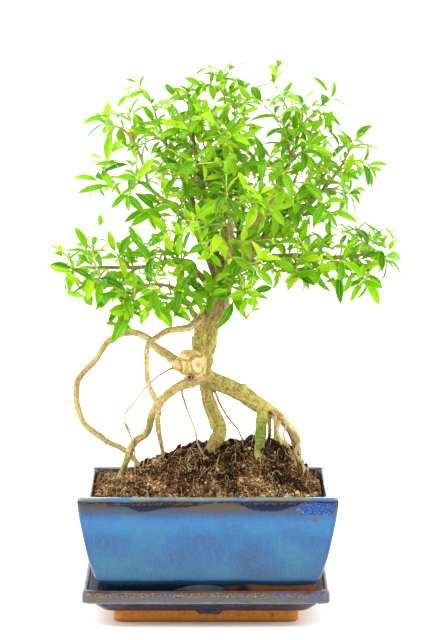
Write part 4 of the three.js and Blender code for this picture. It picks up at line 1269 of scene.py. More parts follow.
SPRAYS = {
    "arm_left": (
        (1, (-113, -6, 262), (-113, 4, 285), (-106, -32, 274)), (0.86, (-100, 10, 292), (-90, 34, 284)),
        (0.78, (-94, -18, 253), (-84, -42, 262)), (0.66, (-79, -20, 293), (-70, -48, 284)),
        (0.6, (-80, 10, 243), (-68, 38, 262)), (0.45, (-62, 12, 290), (-52, 42, 284)),
        (0.32, (-45, -26, 294), (-50, -54, 284)),
    ),
    "low_left": (
        (1, (-69, -26, 229), (-68, -48, 250)), (0.72, (-45, -44, 241), (-44, -64, 262)),
        (0.5, (-30, -34, 238), (-20, -54, 262)),
    ),
    "up_left_long": (
        (1, (-95, -30, 338), (-84, -48, 354)), (0.75, (-66, -50, 328), (-52, -64, 346)),
        (0.5, (-54, -4, 312), (-44, -38, 314)),
    ),
    "up_left_shoot": (
        (1, (-89, -20, 389), (-78, -38, 376)), (0.75, (-62, -2, 401), (-80, 10, 380)),
    ),
    "left_mid": (
        (1, (-47, 18, 407), (-26, 36, 402)), (0.75, (-57, 44, 382), (-64, 32, 358)),
        (0.5, (-40, 60, 346), (-22, 68, 362)),
    ),
    "leader_left": (
        (1, (-15, 2, 418), (-32, -8, 409)), (0.8, (-34, -22, 388), (-8, -36, 396)),
        (0.5, (-28, -38, 350), (-10, -56, 362)),
    ),
    "leader_mid": (
        (1, (10, 6, 433), (-3, 20, 420)), (0.85, (29, 18, 418), (18, 42, 406)),
        (0.66, (-4, 48, 386), (30, 50, 384)),
    ),
    "leader_twin": (
        (1, (30, -32, 379), (12, -50, 384)),
    ),
    "thick_right": (
        (1, (73, -4, 410), (88, 6, 402)), (0.86, (46, -6, 425), (56, 14, 408)),
        (0.76, (52, -38, 400), (34, -22, 412)), (0.93, (104, 2, 410), (96, 20, 388)),
        (0.6, (40, -52, 366), (60, -60, 352)), (0.7, (84, -34, 374), (98, -16, 388)),
    ),
    "second_right": (
        (1, (120, 0, 380), (108, 14, 376)), (0.9, (131, 18, 356), (128, -26, 352)),
        (0.75, (121, 8, 326), (112, 36, 336)), (0.66, (100, 44, 362), (84, 58, 346)),
        (0.55, (102, -20, 315), (92, -46, 326)), (0.4, (72, -50, 330), (56, -68, 340)),
    ),
    "arm_right": (
        (1, (145, 4, 272), (134, -26, 288)), (0.9, (127, -2, 300), (118, 30, 292)),
        (0.82, (129, 10, 247), (120, -24, 256)), (0.65, (104, -26, 264), (104, -48, 282)),
        (0.55, (86, 22, 256), (90, 44, 276)), (0.4, (70, -16, 263), (70, -38, 298)),
    ),
    "trunk": (
        (0.84, (24, -28, 240), (45, -22, 251)), (0.74, (-14, -32, 256), (2, -46, 252)),
    ),
    "back_rise": (
        (1, (-10, 80, 378), (14, 78, 382)), (0.7, (-32, 78, 328), (-12, 92, 342)),
        (0.55, (34, 72, 350), (26, 88, 328)), (0.35, (-22, 60, 296), (6, 78, 294)),
    ),
    "back_right": (
        (1, (80, 68, 360), (56, 68, 366)), (0.6, (82, 64, 312), (50, 74, 314)),
    ),
    "front_rise": (
        (1, (12, -72, 342), (34, -74, 328)), (0.7, (-8, -64, 312), (8, -80, 300)),
        (0.45, (42, -50, 298), (28, -66, 280)),
    ),
}

STANDOUTS = (
    (-56, 247, -74, 217, 10), (-38, 248, -28, 230, 9), (-70, 257, -98, 255, 6.6), (-70, 255, -85, 237, 6),
    (-55, 255, -31, 260, 6.6), (-87, 269, -95, 248, 8), (-19, 280, -8, 269, 7), (15, 258, -17, 252, 5.6),
    (26, 255, 47, 249, 5.2), (23, 255, 26, 237, 7), (37, 276, 50, 264, 7.5), (16, 267, -1, 246, 6),
    (19, 286, 34, 275, 7), (64, 265, 86, 268, 5.6), (86, 267, 96, 260, 5), (-11, 315, 12, 329, 8),
    (44, 328, 58, 308, 7), (37, 329, 31, 309, 8), (72, 294, 75, 313, 6.5), (-78, 392, -96, 385, 5),
    (-61, 406, -70, 396, 4.6), (-50, 407, -62, 400, 5), (-61, 379, -48, 376, 7),
    (-68, 357, -86, 353, 4.4), (-75, 339, -100, 331, 6), (-4, 411, -19, 418, 6), (-5, 388, -23, 374, 7),
    (50, 275, 42, 264, 6), (30, 258, 39, 270, 6), (72, 275, 61, 265, 6.4), (5, 275, -9, 287, 6.4),
    (53, 293, 42, 284, 6.4), (95, 275, 107, 267, 5.5), (11, 245, 1, 256, 6.2), (-2, 298, -14, 290, 6.6),
    (27, 354, 42, 345, 7), (16, 370, 25, 356, 6.4), (-30, 304, -44, 292, 6.6),
)


# The tray, the pot and the soil


def waved(places: Points, reach: float) -> Points:
    """Gives points with the slight unevenness of a wall made by hand, level with its foot and rim.

    Args:
        places: The points.
        reach: How far they may move, in millimetres.

    Returns:
        The points, moved.
    """
    x, y, z = places.T
    turn = np.arctan2(y, x)
    share = reach * (np.sin(turn * 3 + 0.7) + 0.6 * np.sin(turn * 7 + z * 0.05))
    out = np.stack([np.sign(x) * share, np.sign(y) * share, np.zeros(len(z))], axis=1)
    return places + out * smooth(20, 40, np.hypot(x, y))[:, None]


@dataclass(frozen=True)
class DripTray:
    """The shallow tray with a flared wall, a broad rim and a flat foot of bare clay."""

    glaze: TrayGlaze = TrayGlaze()
    shift_x: float = -1.5
    half_width: float = 95.6
    corner: float = 7.0
    unevenness: float = 0.16
    profile: tuple = (
        (70.4, 44.8, 0), (71.6, 46, 1.2), (71.6, 46, 9.5), (79, 53.5, 10.5), (88.5, 63, 18.7),
        (95.5, 70, 19.2), (95.5, 70, 26.8), (94.3, 68.8, 28.9), (91.8, 66.3, 29), (84, 58.5, 18),
        (79, 53.5, 17),
    )
    roundings: tuple = (0, 1.0, 0.8, 1.6, 1.2, 0.9, 0.7, 0.5, 1.0, 2.0, 0)

    def build(self) -> Thing:
        """Builds the tray as one closed shell.

        Returns:
            The finished piece.
        """
        turns = filleted(self.profile, self.roundings)
        rings = [rounded_ring(w, d, z, self.corner, 14) for w, d, z in turns]
        places, faces = skin(rings)
        places = waved(places, self.unevenness) + np.array([self.shift_x, 0, 0])
        places[:, 0] = np.clip(places[:, 0], self.shift_x - self.half_width, self.shift_x + self.half_width)
        mesh = mesh_of("drip_tray", places, faces)
        shade(mesh, 50)
        mesh.materials.append(self.glaze.material())
        return hand_in(new_object("drip_tray_shell", mesh), ["drip_tray"])


@dataclass(frozen=True)
class Pot:
    """The flared rectangular pot with its rounded lip, its foot ring, its arches and drain holes."""

    glaze: PotGlaze = PotGlaze()
    corner: float = 6.0
    unevenness: float = 0.22
    foot_z: float = 17.3
    profile: tuple = (
        (71, 45.5, 33.5), (73, 47.5, 31.5), (73, 47.5, 18.1), (73.8, 48.3, 17.3), (79.7, 54.2, 17.3),
        (80.6, 55.1, 18.1), (84.3, 58.8, 33.5), (86.9, 61.4, 35.9), (92.8, 67.3, 53.6), (96, 70.5, 69),
        (98.9, 73.4, 84.3), (100.6, 75.1, 98.4), (99.8, 74.3, 101), (97.4, 71.9, 102.2), (92.2, 66.7, 102),
        (90.1, 64.6, 100.8), (89.2, 63.7, 99), (80, 54.5, 40),
    )
    roundings: tuple = (0, 1.0, 0, 0, 0, 0, 0.5, 1.2, 6, 6, 6, 5, 1.6, 1.6, 3, 1.6, 1.0, 0)
    arch_shift: float = -4.0
    arch_half_width: float = 31.0
    arch_half_depth: float = 20.0
    arch_height: float = 14.5
    drain_radius: float = 7.0
    drains: tuple = (-40, 40)

    def build(self) -> Thing:
        """Builds the pot as one closed shell and cuts its foot and its floor.

        Returns:
            The finished piece.
        """
        turns = filleted(self.profile, self.roundings)
        rings = [rounded_ring(w, d, z, self.corner, 16) for w, d, z in turns]
        places, faces = skin(rings)
        pot = new_object("pot_shell", mesh_of("pot", waved(places, self.unevenness), faces))
        cutters = [new_object("cutter", mesh_of("cutter", *skin(shape))) for shape in self.openings()]
        for cutter in cutters:
            cut = pot.modifiers.new("opening", "BOOLEAN")
            cut.operation = "DIFFERENCE"
            cut.solver = "EXACT"
            cut.object = cutter
        settle(pot)
        for cutter in cutters:
            bpy.data.objects.remove(cutter)
        shade(pot.data, 40)
        pot.data.materials.clear()
        pot.data.materials.append(self.glaze.material())
        return hand_in(pot, ["pot"])

    def openings(self) -> list:
        """Gives the end rings of the solids that cut the arches and the drain holes.

        Returns:
            Two rings for each solid.
        """
        oval = [(u, self.foot_z + self.arch_height * v) for u, v in circle(64)]
        shift, wide, deep = self.arch_shift, self.arch_half_width, self.arch_half_depth
        radius = self.drain_radius
        shapes = [
            [[(shift + wide * u, y, z) for u, z in oval[::-1]] for y in (-75, 75)],
            [[(x, -deep * u, z) for u, z in oval] for x in (-100, 100)],
        ]
        for x in self.drains:
            shapes.append([[(x + radius * u, radius * v, z) for u, v in circle(40)] for z in (30, 45)])
        return shapes


@dataclass(frozen=True)
class Soil:
    """The peat mounded under the tree, with its crumbs, its pale fibres and its chips of bark."""

    peat: Peat = Peat()
    fibre: Fibre = Fibre()
    chip: Chip = Chip()
    edge_z: float = 98.4
    mound: float = 33.0
    rise_x: tuple = (-95, 5)
    fall_x: tuple = (56, 91)
    ridge_y: float = 4.0
    crest_half: float = 8.0
    flank_half: float = 62.0
    floor: tuple = (80, 54.5, 40)
    top: tuple = (89.2, 63.7, 99)
    gap: float = 0.36
    corner: float = 6.0
    heap: tuple = (48, -17)
    heap_height: float = 6.5
    heap_reach: tuple = (19, 18)
    feet: tuple = ((2, -12), (42, -23), (52, -19), (68, -23), (70, 4), (-66, -3), (-50, 11), (-34, -4))
    foot_height: float = 3.4
    foot_reach: tuple = (7.0, 7.0)
    columns: int = 196
    rows: int = 140
    coarse: float = 0.0145
    fine: float = 0.0026
    crumbs: tuple = (
        ("soil_grains", 1, 0.42, {"Density": 235000, "Smallest": 0.4, "Largest": 1.45, "Seed": 11}),
        ("soil_crumbs", 2, 0.30, {"Density": 26000, "Smallest": 0.8, "Largest": 2.3, "Seed": 12}),
    )
    fibre_count: int = 620
    fibre_steps: int = 9
    fibre_sides: int = 5
    chip_count: int = 26
    chip_sides: int = 7
    chip_layers: tuple = (0, 1, 0.85, 0.1)
    large_chips: tuple = (
        (33.5, -1, 5.6, 0.1), (28, -10, 3.2, 0.6), (46, -22, 3.6, 0.9), (-20, -30, 3.0, 0.4),
        (-88, -20, 1.8, 0.2), (-86.5, 2, 1.5, 0.3), (-87, -44, 1.6, 0.8), (-84, -52, 1.4, 0.1),
    )

    def build(self) -> list[Thing]:
        """Builds the soil and what lies on it.

        Returns:
            The finished pieces.
        """
        soil = new_object("soil_block", self.block())
        grow(soil, self.roughening(), Coarse=self.coarse, Fine=self.fine, Finish=self.peat.material())
        corners = [v.co.copy() for v in soil.data.vertices]
        surface = BVHTree.FromPolygons(corners, [tuple(p.vertices) for p in soil.data.polygons])
        pieces = [hand_in(soil, ["soil"])]
        scatter = self.scattering()
        for number, (name, detail, rough, settings) in enumerate(self.crumbs):
            crumb = self.lump(detail, rough, number + 1)
            host = new_object(name, soil.data.copy())
            grow(host, scatter, Crumb=crumb, Finish=self.peat.material(), **settings)
            pieces.append(hand_in(host))
            bpy.data.objects.remove(crumb)
        return [*pieces, self.fibres(surface), self.chips(surface)]

    def height(self, x: Points, y: Points) -> Points:
        """Gives the soil's height at places.

        Args:
            x, y: The places.

        Returns:
            The height at each.
        """
        rise = smooth(*self.rise_x, x)
        fall = 1 - smooth(*self.fall_x, x)
        across = 1 - smooth(self.crest_half, self.flank_half, np.abs(y - self.ridge_y))
        heaps = [(self.heap, self.heap_reach, self.heap_height)]
        heaps += [(foot, self.foot_reach, self.foot_height) for foot in self.feet]
        raised = 0.0
        for (at_x, at_y), (wide, deep), height in heaps:
            raised = raised + height * np.exp(-(((x - at_x) / wide) ** 2) - ((y - at_y) / deep) ** 2)
        return self.edge_z + self.mound * rise * fall * across + raised

    def wall(self, z: float) -> tuple[float, float]:
        """Gives the half sizes of the soil at a height.

        Args:
            z: The height.

        Returns:
            The half width and the half depth.
        """
        t = (z - self.floor[2]) / (self.top[2] - self.floor[2])
        half_width = between(self.floor[0], self.top[0], t) - self.gap
        return half_width, between(self.floor[1], self.top[1], t) - self.gap

    def block(self) -> Mesh:
        """Builds the closed block of soil with a fine grid on top.

        Returns:
            The mesh, with the attribute soil_top at 1 on its top and 0 at its walls.
        """
        half_width, half_depth = self.wall(self.edge_z - 1)
        u = np.linspace(-half_width, half_width, self.columns)
        v = np.linspace(-half_depth, half_depth, self.rows)
        across, along = np.meshgrid(u, v)
        corner_x = np.clip((np.abs(across) - half_width + self.corner) / self.corner, 0, 1)
        corner_y = np.clip((np.abs(along) - half_depth + self.corner) / self.corner, 0, 1)
        x = across - np.sign(across) * (corner_x * (1 - np.sqrt(1 - corner_y**2 / 2)) * self.corner)
        y = along - np.sign(along) * (corner_y * (1 - np.sqrt(1 - corner_x**2 / 2)) * self.corner)
        top = np.stack([x, y, self.height(x, y)], axis=2)
        top[0, :, 2] = top[-1, :, 2] = top[:, 0, 2] = top[:, -1, 2] = self.edge_z - 1
        places = top.reshape(-1, 3)
        index = np.arange(len(places)).reshape(self.rows, self.columns)
        quads = np.stack([index[:-1, :-1], index[:-1, 1:], index[1:, 1:], index[1:, :-1]], axis=2)
        rim = np.concatenate([index[0, :-1], index[:-1, -1], index[-1, :0:-1], index[:0:-1, 0]])
        foot = len(places) + np.arange(len(rim))
        walls = np.stack([np.roll(rim, -1), rim, foot, np.roll(foot, -1)], axis=1)
        low = places[rim] * np.array([self.wall(40.3)[0] / half_width, self.wall(40.3)[1] / half_depth, 0])
        low[:, 2] = self.floor[2] + 0.3
        faces = quads.reshape(-1, 4).tolist() + walls.tolist() + [foot[::-1].tolist()]
        mesh = mesh_of("soil", np.vstack([places, low]), faces)
        inner = smooth(0, 3, half_width - np.abs(across)) * smooth(0, 3, half_depth - np.abs(along))
        store(mesh, soil_top=np.append(inner.ravel(), np.zeros(len(rim))))
        return mesh

    @staticmethod
    def roughening() -> NodeTree:
        """Makes the tree that breaks a smooth surface up into crumbs of soil.

        Returns:
            The tree.
        """
        g = Growth("soil_surface", Coarse="Float", Fine="Float", Finish="Material")
        rise = (g.uneven(330, 3, 0.65) * 0.55 + g.uneven(130, 3, 0.6)) * g.inputs["Coarse"]
        rise = (rise - (g.cells(480) - 0.45) * g.inputs["Fine"]) * g.named("soil_top")
        g.change("SetPosition", Offset=g.give("ShaderNodeCombineXYZ", {2: rise}))
        g.change("SetShadeSmooth")
        return g.close()

    @staticmethod
    def scattering() -> NodeTree:
        """Makes the tree that scatters crumbs over the top of a surface.

        Returns:
            The tree.
        """
        numbers = {name: "Float" for name in ("Density", "Smallest", "Largest")}
        g = Growth("crumbs", Crumb="Object", **numbers, Seed="Int", Finish="Material")
        seed, smallest = g.inputs["Seed"], g.inputs["Smallest"]

        def random(kind: str, low: object, high: object, draw: Value) -> Value:
            """Draws a number or a vector for each crumb."""
            first = 0 if kind == "FLOAT_VECTOR" else 2
            inputs = {first: low, first + 1: high, "Seed": draw}
            return g.give("FunctionNodeRandomValue", inputs, first // 2, data_type=kind)

        spots = {
            "Mesh": g.shape,
            "Selection": g.math("GREATER_THAN", g.named("soil_top"), 0.3),
            "Density": g.inputs["Density"],
            "Seed": seed,
        }
        small = g.math("POWER", random("FLOAT", 0.0, 1.0, seed + 7), 2.5)
        drawn_out = random("FLOAT_VECTOR", (0.45, 0.6, 0.5), (1.0, 1.7, 1.1), seed + 19)
        placed = {
            "Points": g.give("GeometryNodeDistributePointsOnFaces", spots),
            "Instance": g.give("GeometryNodeObjectInfo", {"Object": g.inputs["Crumb"]}, "Geometry"),
            "Rotation": random("FLOAT_VECTOR", (0.0, 0.0, 0.0), (math.tau, math.tau, math.tau), seed),
            "Scale": g.scaled(drawn_out, small * (g.inputs["Largest"] - smallest) + smallest),
        }
        tint = {
            "Geometry": g.give("GeometryNodeInstanceOnPoints", placed),
            "Name": "crumb_tint",
            "Value": random("FLOAT", 0.0, 1.0, seed + 13),
        }
        g.shape = g.give("GeometryNodeStoreNamedAttribute", tint, data_type="FLOAT", domain="INSTANCE")
        return g.close()

    @staticmethod
    def lump(detail: int, rough: float, draw: int) -> Thing:
        """Makes one uneven ball, 2 mm across, for scattering.

        Args:
            detail: How often its faces are split.
            rough: How uneven it is, as a share of its size.
            draw: Which of the many possible ones.

        Returns:
            The object.
        """
        ball = bmesh.new()
        bmesh.ops.create_icosphere(ball, subdivisions=detail, radius=MM)
        for i, vertex in enumerate(ball.verts):
            vertex.co *= 1 + sway(rough * 2, draw, i, 3)
        mesh = bpy.data.meshes.new("crumb_one")
        ball.to_mesh(mesh)
        ball.free()
        return new_object("crumb_one", mesh)

    def level(self, surface: BVHTree, x: float, y: float) -> float:
        """Gives the height of the rough surface at a place."""
        hit = surface.ray_cast(Vector((x * MM, y * MM, 0.2)), Vector((0, 0, -1)))[0]
        return hit.z / MM if hit else self.edge_z

    def fibres(self, surface: BVHTree) -> Thing:
        """Lays loose curved fibres on the soil.

        Args:
            surface: The soil's surface, in metres.

        Returns:
            The finished piece.
        """
        lines = []
        for i in range(self.fibre_count):
            x, y = drawn(-84, 84, i, 1, 71), drawn(-58, 58, i, 2, 71)
            length = between(5, 19, chance(i, 3, 71) ** 1.6)
            heading = chance(i, 4, 71) * math.tau
            bend = sway(0.5, i, 5, 71)
            radius = drawn(0.07, 0.2, i, 6, 71)
            lift = between(0.15, 2.2, chance(i, 7, 71) ** 2)
            line = []
            for step in range(self.fibre_steps + 1):
                share = step / self.fibre_steps
                x, y = min(max(x, -86), 86), min(max(y, -60.5), 60.5)
                z = self.level(surface, x, y) + lift * math.sin(math.pi * share) * 2 + radius * 0.6
                line.append(((x, y, z), radius * (1 - 0.6 * share)))
                heading += bend + sway(0.5, i, step, 72)
                x += math.cos(heading) * length / self.fibre_steps
                y += math.sin(heading) * length / self.fibre_steps
            lines.append(line)
        return strands("soil_fibres", lines, self.fibre_sides, self.fibre.material())

    def chips(self, surface: BVHTree) -> Thing:
        """Lays dark chips of bark on the soil.

        Args:
            surface: The soil's surface, in metres.

        Returns:
            The finished piece.
        """
        spots = list(self.large_chips)
        for i in range(self.chip_count):
            x, y = drawn(-80, 80, i, 1, 81), drawn(-56, 40, i, 2, 81)
            spots.append((x, y, drawn(1.2, 2.8, i, 3, 81), chance(i, 4, 81)))
        shells = []
        for i, (x, y, size, turn) in enumerate(spots):
            z = self.level(surface, x, y) + size * (0.25 if i else 0.6)
            cos, sin = math.cos(turn * math.tau), math.sin(turn * math.tau)
            high = 0.42 if i else 1.5
            rings = []
            for layer, thick in enumerate(self.chip_layers):
                ring = []
                for corner, (right, up) in enumerate(circle(self.chip_sides)):
                    reach = size * thick * drawn(0.75, 1.25, i, corner, 83)
                    u, v = reach * right, 0.62 * reach * up
                    uneven = sway(0.3 * size, i, corner + layer * self.chip_sides, 84)
                    rise = size * (high * (layer / 3 - 0.5)) + uneven
                    lean = 0.25 * u * (chance(i, 9, 85) - 0.3)
                    ring.append((x + u * cos - v * sin, y + u * sin + v * cos, z + rise + lean))
                rings.append(ring)
            shells.append(skin(rings))
        mesh = mesh_of("bark_chips", *merged(shells))
        mesh.materials.append(self.chip.material())
        return hand_in(new_object("bark_chips", mesh))


def strands(name: str, lines: Sequence[list], sides: int, finish: Material) -> Thing:
    """Makes one piece of thin round strands.

    Args:
        name: Its name.
        lines: The points of each strand with the radius there.
        sides: The points round each of them.
        finish: Its material.

    Returns:
        The finished piece.
    """
    spots, edges = chained(lines)
    mesh = mesh_of(name, [place for place, _ in spots], edges=edges)
    store(mesh, strand_radius=[radius * MM for _, radius in spots])
    g = Growth("strands", Sides="Int", Finish="Material")
    g.tubes(g.named("strand_radius"))
    return hand_in(grow(new_object(name, mesh), g.close(), Sides=sides, Finish=finish))


# The wood


@dataclass(frozen=True)
class Knurl:
    """A healed swelling on the wood: its middle and its half sizes."""

    middle: tuple
    half: tuple

    def shell(self) -> Shell:
        """Makes its closed skin.

        Returns:
            The points and the faces.
        """
        rings = []
        for i in range(1, 14):
            tilt = math.pi * i / 14
            low, wide = -math.cos(tilt), math.sin(tilt)
            around = [np.array([wide * u, wide * v, low]) * self.half for u, v in circle(24)]
            rings.append([np.array(self.middle) + offset for offset in around])
        return skin(rings)


KNURLS = (
    Knurl((-14, -7.5, 196), (11.5, 8.6, 9.8)),
    Knurl((-22, -9, 195.5), (6.4, 6, 5.8)),
    Knurl((-14, -10, 202.5), (8.6, 6, 5.4)),
    Knurl((13, 0, 271), (11, 8.5, 8)),
    Knurl((28, -3, 177.6), (2.8, 2.6, 2.8)),
)

HAIRS = (
    (0.32, ((-13, -13, 224), (-17, -16, 219), (-14, -17, 214), (-18, -16, 211))),
    (0.35, ((-10, -12, 187), (-12, -15, 181), (-9, -16, 173))),
    (0.3, ((-61, -8, 142), (-60, -8, 152), (-56, -8, 156.5), (-51, -8, 156), (-47.5, -9, 151))),
    (0.5, ((-64, -18, 152), (-60, -14, 143), (-56, -11, 134), (-54, -8, 124))),
    (0.34, ((-22, -14, 191), (-16, -17, 188.5), (-9, -16, 190))),
    (0.34, ((-21, -13, 188), (-14, -16, 185.5), (-8, -14.5, 185))),
    (0.3, ((-18, -15, 192), (-16, -17, 187), (-18, -15.5, 182))),
    (0.3, ((-24, -12, 193), (-19, -16, 189), (-13, -16.5, 184.5), (-7, -13, 184))),
    (0.3, ((-12, -16, 190), (-13, -16.5, 185), (-10, -14, 180))),
    (0.4, ((8, -8, 180), (12, -10, 174), (9, -10, 170), (6, -9, 173))),
    (0.36, ((-52, -14, 128), (-47, -16, 124), (-42, -17, 122), (-43, -17, 118))),
    (0.35, ((-50, -9, 146), (-53, -12, 134), (-49, -13, 126), (-51, -14, 116))),
    (0.3, ((-44, -14, 152), (-47, -16, 140), (-45, -17, 130), (-48, -18, 116))),
    (0.3, ((-66, -4, 118), (-60, -9, 124), (-54, -12, 118), (-52, -13, 108))),
    (0.4, ((-20, -12, 181), (-26, -15, 172), (-24, -16, 165))),
    (0.3, ((2, -9, 176), (0, -12, 168), (3, -13, 160))),
    (0.35, ((16, -6, 178), (20, -12, 166), (18, -13, 158))),
    (0.3, ((-24, -16, 176), (-30, -18, 184), (-36, -18, 186), (-38, -17, 180))),
    (0.35, ((40, -6, 150), (35, -9, 138), (33, -10, 122))),
    (0.35, ((47, -8, 146), (52, -12, 132), (50, -13, 114))),
    (0.3, ((62, -6, 138), (68, -10, 126), (66, -11, 112))),
    (0.3, ((12, -6, 132), (17, -10, 138), (22, -11, 136), (23, -11, 128))),
    (0.3, ((-22, -7, 204), (-27, -11, 199), (-25, -12, 193))),
    (0.28, ((-95, 14, 190), (-99, 10, 184), (-97, 9, 178))),
    (1.3, ((56, -9, 152), (54, -13, 144), (57, -16, 134), (53, -19, 122), (55, -20, 112))),
    (0.8, ((61, -8, 149), (59, -13, 140), (63, -17, 131), (61, -20, 119), (58, -22, 108))),
    (1.45, ((65, -8, 144), (71, -13, 137), (68, -19, 128), (74, -22, 118), (72, -24, 106))),
)


def limb_skin(curve: Curve, radii: Sequence[float], step: float, sides: int) -> Shell:
    """Makes a round closed tube along a curve.

    Args:
        curve: The curve.
        radii: Radii spread evenly along it.
        step: The distance between rings.
        sides: Points in each ring.

    Returns:
        The points and the faces.
    """
    rings = []
    for t, side, other in curve.frames(max(6, round(curve.length() / step))):
        radius = spread(radii, t)
        rings.append([curve.at(t) + (side * u + other * v) * radius for u, v in circle(sides)])
    return skin(rings)


@dataclass
class WoodMap:
    """Where each point of the bark belongs: the limb, the place along it and the turn round it."""

    TONES = {"right_thigh": 0.95, "right_leg": 1.0, "middle_leg": 0.9, "middle_strand": 0.9, "left_leg": 0.4}
    BLOCK = 1500
    STEP = 1.5

    places: list = field(default_factory=list)
    frames: list = field(default_factory=list)
    facts: list = field(default_factory=list)

    def add(self, name: str, limb: Limb) -> None:
        """Adds samples of a limb at even steps.

        Args:
            name, limb: The limb and its name.
        """
        curve = limb.curve()
        length = curve.length()
        for t, *frame in curve.frames(max(4, round(length / self.STEP))):
            radius = spread(limb.radii, t)
            rooty = limb.kind in (Wood.ROOT, Wood.ROOTLET)
            age = smooth(3.0, 8.5, radius) * (0.7 if rooty else 1.0)
            tone = self.TONES.get(name, 0.15 if rooty else smooth(7.2, 9.8, radius))
            self.places.append(curve.at(t))
            self.frames.append(frame)
            self.facts.append((radius, t * length + 37.0 * len(name), age, float(rooty), tone))

    def read(self, points: Points) -> tuple[Points, Points]:
        """Finds what each point of the bark belongs to.

        Args:
            points: Points in millimetres.

        Returns:
            Each point's place on the bark, in metres, and its radius, age, root share and tone.
        """
        places, frames, facts = (np.array(part) for part in (self.places, self.frames, self.facts))
        on_bark, found = [], []
        for start in range(0, len(points), self.BLOCK):
            some = points[start : start + self.BLOCK]
            far = np.linalg.norm(some[:, None, :] - places[None], axis=2) - facts[:, 0]
            best = far.argmin(axis=1)
            away = some - places[best]
            x, y = ((away * frames[best, axis]).sum(axis=1) for axis in (0, 1))
            on_bark.append(np.stack([x, y, facts[best, 1]], axis=1) * MM)
            weight = np.exp(-np.maximum(far - far[np.arange(len(some)), best][:, None], 0) / 0.8)
            weight /= weight.sum(axis=1, keepdims=True)
            found.append(weight @ facts[:, [0, 2, 3, 4]])
        return np.vstack(on_bark), np.vstack(found)


